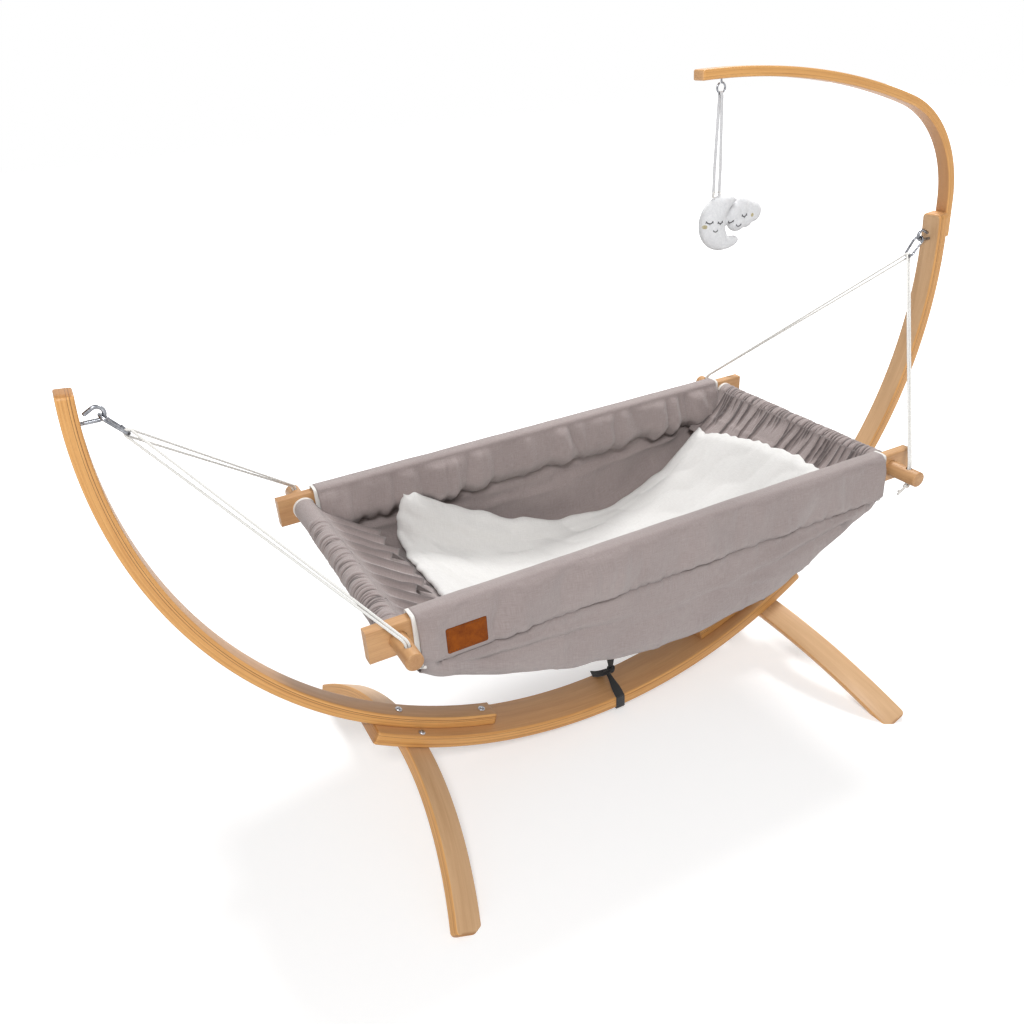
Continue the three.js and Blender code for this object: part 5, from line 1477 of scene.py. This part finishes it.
def ribbonStrand(sign):  # from the toy up to the eye, the two strands drawing together
    points = []
    for i in range(40):
        t = i / 40
        fan = ribbon["fan"] * (1 - 0.85 * t) * (1 - 0.2 * math.sin(math.pi * t))
        opening = 0.35 + 0.65 * easeBetween(0.04, 0.3, t)
        apart = ribbon["spread"] * opening + (turnRadius - ribbon["spread"]) * t
        points.append(Vector((eye["x"] - sign * fan, sign * apart, ribbonLow + (wireTop - ribbonLow) * t)))
    return points


ribbonLine = ribbonStrand(1)
ribbonLine += [Vector((eye["x"], turnRadius * math.cos(math.pi * i / 12),
                       wireTop + turnRadius * math.sin(math.pi * i / 12))) for i in range(13)]
ribbonLine = evenly(ribbonLine + ribbonStrand(-1)[::-1], 0.002)
bm = bmesh.new()
drawBand(bm, ribbonLine, ribbon["width"], ribbon["thickness"], Vector((1, 0, 0)))
ribbonPiece = addPiece("ribbon_band", toMesh("ribbon", bm), silverRibbon, "hanging_toy",
                       ["ribbon"], 50)
tuple(ribbonLine[0])
round(routeLength(ribbonLine), 3)
[tuple(p) for p in ribbonLine]

# The toy's own loop, which the ribbon runs through
tabLine = [Vector((eye["x"] + side * ribbon["tab"], 0, ribbonLow + up)) for side, up in (
    (-1, -0.003), (-1, ribbon["tabUp"]), (1, ribbon["tabUp"]), (1, -0.003))]
bm = bmesh.new()
drawBand(bm, softened(evenly(tabLine, 0.0006), 4), 0.0062, 0.0011, Vector((0, 1, 0)))
addPiece("toy_tab", toMesh("tab", bm), whiteTape, "hanging_toy", (), 50)

moonX = eye["x"] + moon["right"]
moonZ = ribbonLow - seatGap - math.sqrt(moon["radius"] ** 2 - moon["right"] ** 2)


def moonPlace(u, v, grow=0):
    outer, inner = (math.radians(first + (last - first) * u) for first, last in (
        moon["outerDegs"], moon["innerDegs"]))
    wide = moon["radius"] + grow + 0.004 * easeBetween(0.82, 1, u)
    bite = moon["bite"] - grow - 0.0095 * easeBetween(0.7, 1, u)
    a = Vector((moonX + wide * math.cos(outer), 0, moonZ + wide * math.sin(outer)))
    b = Vector((moonX + moon["biteX"] + bite * math.cos(inner), 0, moonZ + bite * math.sin(inner)))
    middle, half = (a + b) / 2, (a - b) / 2
    tip = math.sqrt(max(0, 1 - max(0, abs(2 * u - 1) - 0.9) ** 2 / 0.01))
    deep = (moon["depth"] + grow) * min(1, math.sqrt(half.length / (moon["radius"] / 2))) * tip
    turn = 2 * math.pi * v
    seam = 1 - 0.045 * math.exp(-(math.sin(turn) / 0.1) ** 2)
    return Vector((middle.x + half.x * math.cos(turn) * seam * tip, -moon["forward"] + deep * math.sin(turn),
                   middle.z + half.z * math.cos(turn) * seam * tip))


def moonMesh(grow, around, along):
    bm = bmesh.new()
    mapGrid(bm, along, around, lambda u, v: moonPlace(u, v, grow), (0.16, 0.12))
    bmesh.ops.remove_doubles(bm, verts=bm.verts, dist=1e-6)
    bmesh.ops.holes_fill(bm, edges=[e for e in bm.edges if e.is_boundary], sides=0)
    return toMesh("moon", bm)


moonPiece = addPiece("moon_plush", moonMesh(0, 56, 80), plush, "hanging_toy", ["moon"], 80)

bm = bmesh.new()
for across, up, size in cloudShares:
    made = bmesh.ops.create_uvsphere(bm, u_segments=32, v_segments=20, radius=cloud["lobe"] * size)
    bmesh.ops.scale(bm, vec=(1, cloud["depth"] / cloud["lobe"], 1), verts=made["verts"])
    bmesh.ops.translate(bm, verts=made["verts"], vec=(
        eye["x"] + cloud["right"] + across * cloud["width"] / 2, cloud["back"],
        moonZ + cloud["up"] + up * cloud["height"] / 2))
cloudBody = bpy.data.objects.new("cloudBody", toMesh("cloudBody", bm))
scene.collection.objects.link(cloudBody)
fuse = cloudBody.modifiers.new("fuse", "REMESH")
fuse.mode = "VOXEL"
fuse.voxel_size = 0.0014
soften = cloudBody.modifiers.new("soften", "SMOOTH")
soften.factor = 0.5
soften.iterations = 14
bpy.context.view_layer.update()
cloudMesh = bpy.data.meshes.new_from_object(cloudBody.evaluated_get(bpy.context.evaluated_depsgraph_get()))
bpy.data.objects.remove(cloudBody)
cloudMesh = drilled(cloudMesh, moonMesh(0.0006, 40, 60))
cloudPiece = addPiece("cloud_plush", cloudMesh, plush, "hanging_toy", ["cloud"], 80)


# Sleepy faces: stitched arcs that lie on the plush
def surfaceOf(mesh):
    return BVHTree.FromPolygons([v.co.copy() for v in mesh.vertices],
                                [tuple(p.vertices) for p in mesh.polygons])


def sewn(bm, tree, points, wire):  # a thread on the plush in front of points given by x and z
    hits = [tree.ray_cast(Vector((x, -0.2, z)), Vector((0, 1, 0)))[0] for x, z in points]
    route = [hit + Vector((0, -0.0002, 0)) for hit in hits if hit is not None]
    if len(route) > 3:
        drawTube(bm, route, wire, 6)


def stitchArc(bm, tree, centre, radius, startDeg, endDeg, wire, steps=14, squash=1.0):
    turns = [math.radians(startDeg + (endDeg - startDeg) * i / steps) for i in range(steps + 1)]
    points = [(centre[0] + radius * math.cos(t), centre[1] + radius * math.sin(t) * squash) for t in turns]
    sewn(bm, tree, points, wire)


sewing = {"lid": 0.0009, "lash": 0.0006, "smile": 0.0008, "cheek": 0.0003, "lashLength": 0.0022,
          "lidSquash": 0.95}
faces = {
    "moon": {"eyes": [((0.2260, 0.9600), 0.0050), ((0.2455, 0.9580), 0.0050)],
             "smile": ((0.2362, 0.9450), 0.0042), "cheek": (0.2195, 0.9500)},
             "cloud": {"eyes": [((0.2880, 0.9500), 0.0052), ((0.3170, 0.9570), 0.0056)],
                       "smile": ((0.3050, 0.9420), 0.0048), "cheek": (0.3350, 0.9520)},
}
for name, piece in (("moon", moonPiece), ("cloud", cloudPiece)):
    tree = surfaceOf(piece.data)
    bm = bmesh.new()
    for centre, radius in faces[name]["eyes"]:
        stitchArc(bm, tree, centre, radius, 190, 350, sewing["lid"], squash=sewing["lidSquash"])
        for deg in (215, 270, 325):
            turn = math.radians(deg)
            start = Vector((centre[0] + radius * math.cos(turn), 0,
                            centre[1] + sewing["lidSquash"] * radius * math.sin(turn)))
            end = start + Vector((math.cos(turn), 0, math.sin(turn))) * sewing["lashLength"]
            lash = [start.lerp(end, k / 4) for k in range(5)]
            sewn(bm, tree, [(p.x, p.z) for p in lash], sewing["lash"])
    centre, radius = faces[name]["smile"]
    stitchArc(bm, tree, centre, radius, 195, 345, sewing["smile"])
    addPiece(f"{name}_face", toMesh("face", bm), eyeThread, "hanging_toy", (), 60)
    bm = bmesh.new()
    for k in range(6):
        stitchArc(bm, tree, faces[name]["cheek"], 0.0004 + 0.0005 * k, 0, 350, sewing["cheek"], 18)
    addPiece(f"{name}_cheek", toMesh("cheek", bm), cheekThread, "hanging_toy", (), 60)
print("toy made")


# Floor, light and world
def makeFloor():
    bm = bmesh.new()
    bmesh.ops.create_grid(bm, x_segments=8, y_segments=8, size=12)
    floor = bpy.data.objects.new("floor", toMesh("floor", bm, False))
    scene.collection.objects.link(floor)
    material, tree, shader = newMaterial("paleFloor")
    plug(tree, shader, Roughness=0.9, Specular_IOR_Level=0.1)
    speck = noiseOf(tree, objectPlace(tree), 2.0, 2)
    plug(tree, shader, Base_Color=mixOf(tree, speck, tone(244, 244, 244), tone(248, 248, 248)))
    glow = addNode(tree, "ShaderNodeEmission", Color=(1, 1, 1, 1), Strength=1.8)
    away = addNode(tree, "ShaderNodeVectorMath", {"operation": "LENGTH"},
                   i0=objectPlace(tree)).outputs["Value"]
    fade = spread(tree, away, 0.8, 1.9, 0.22, 1.0)
    mixer = tree.nodes.new("ShaderNodeMixShader")
    tree.links.new(sum2(tree, seenRays(tree), fade, "MULTIPLY"), mixer.inputs[0])
    tree.links.new(shader.outputs[0], mixer.inputs[1])
    tree.links.new(glow.outputs[0], mixer.inputs[2])
    tree.links.new(mixer.outputs[0], tree.nodes["Material Output"].inputs["Surface"])
    floor.data.materials.append(material)


makeFloor()


def addLamp(name, place, aim, size, power):
    data = bpy.data.lights.new(name, "AREA")
    data.shape = "DISK"
    data.size = size
    data.energy = power
    lamp = bpy.data.objects.new(name, data)
    scene.collection.objects.link(lamp)
    lamp.location = place
    lamp.rotation_euler = (Vector(aim) - Vector(place)).to_track_quat("-Z", "Y").to_euler()


addLamp("overhead", (1.3, 1.1, 3.3), (0, 0, 0.3), 1.0, 84)
addLamp("front", (-1.4, -2.6, 3.1), (0.1, 0, 0.5), 0.9, 86)

world = bpy.data.worlds.new("studio")
scene.world = world
world.use_nodes = True
sky = world.node_tree
background = sky.nodes["Background"]
background.inputs["Color"].default_value = (1, 1, 1, 1)
sky.links.new(spread(sky, seenRays(sky), 0, 1, 0.4, 1.0), background.inputs["Strength"])
scene.view_settings.view_transform = "Standard"
print("studio set")
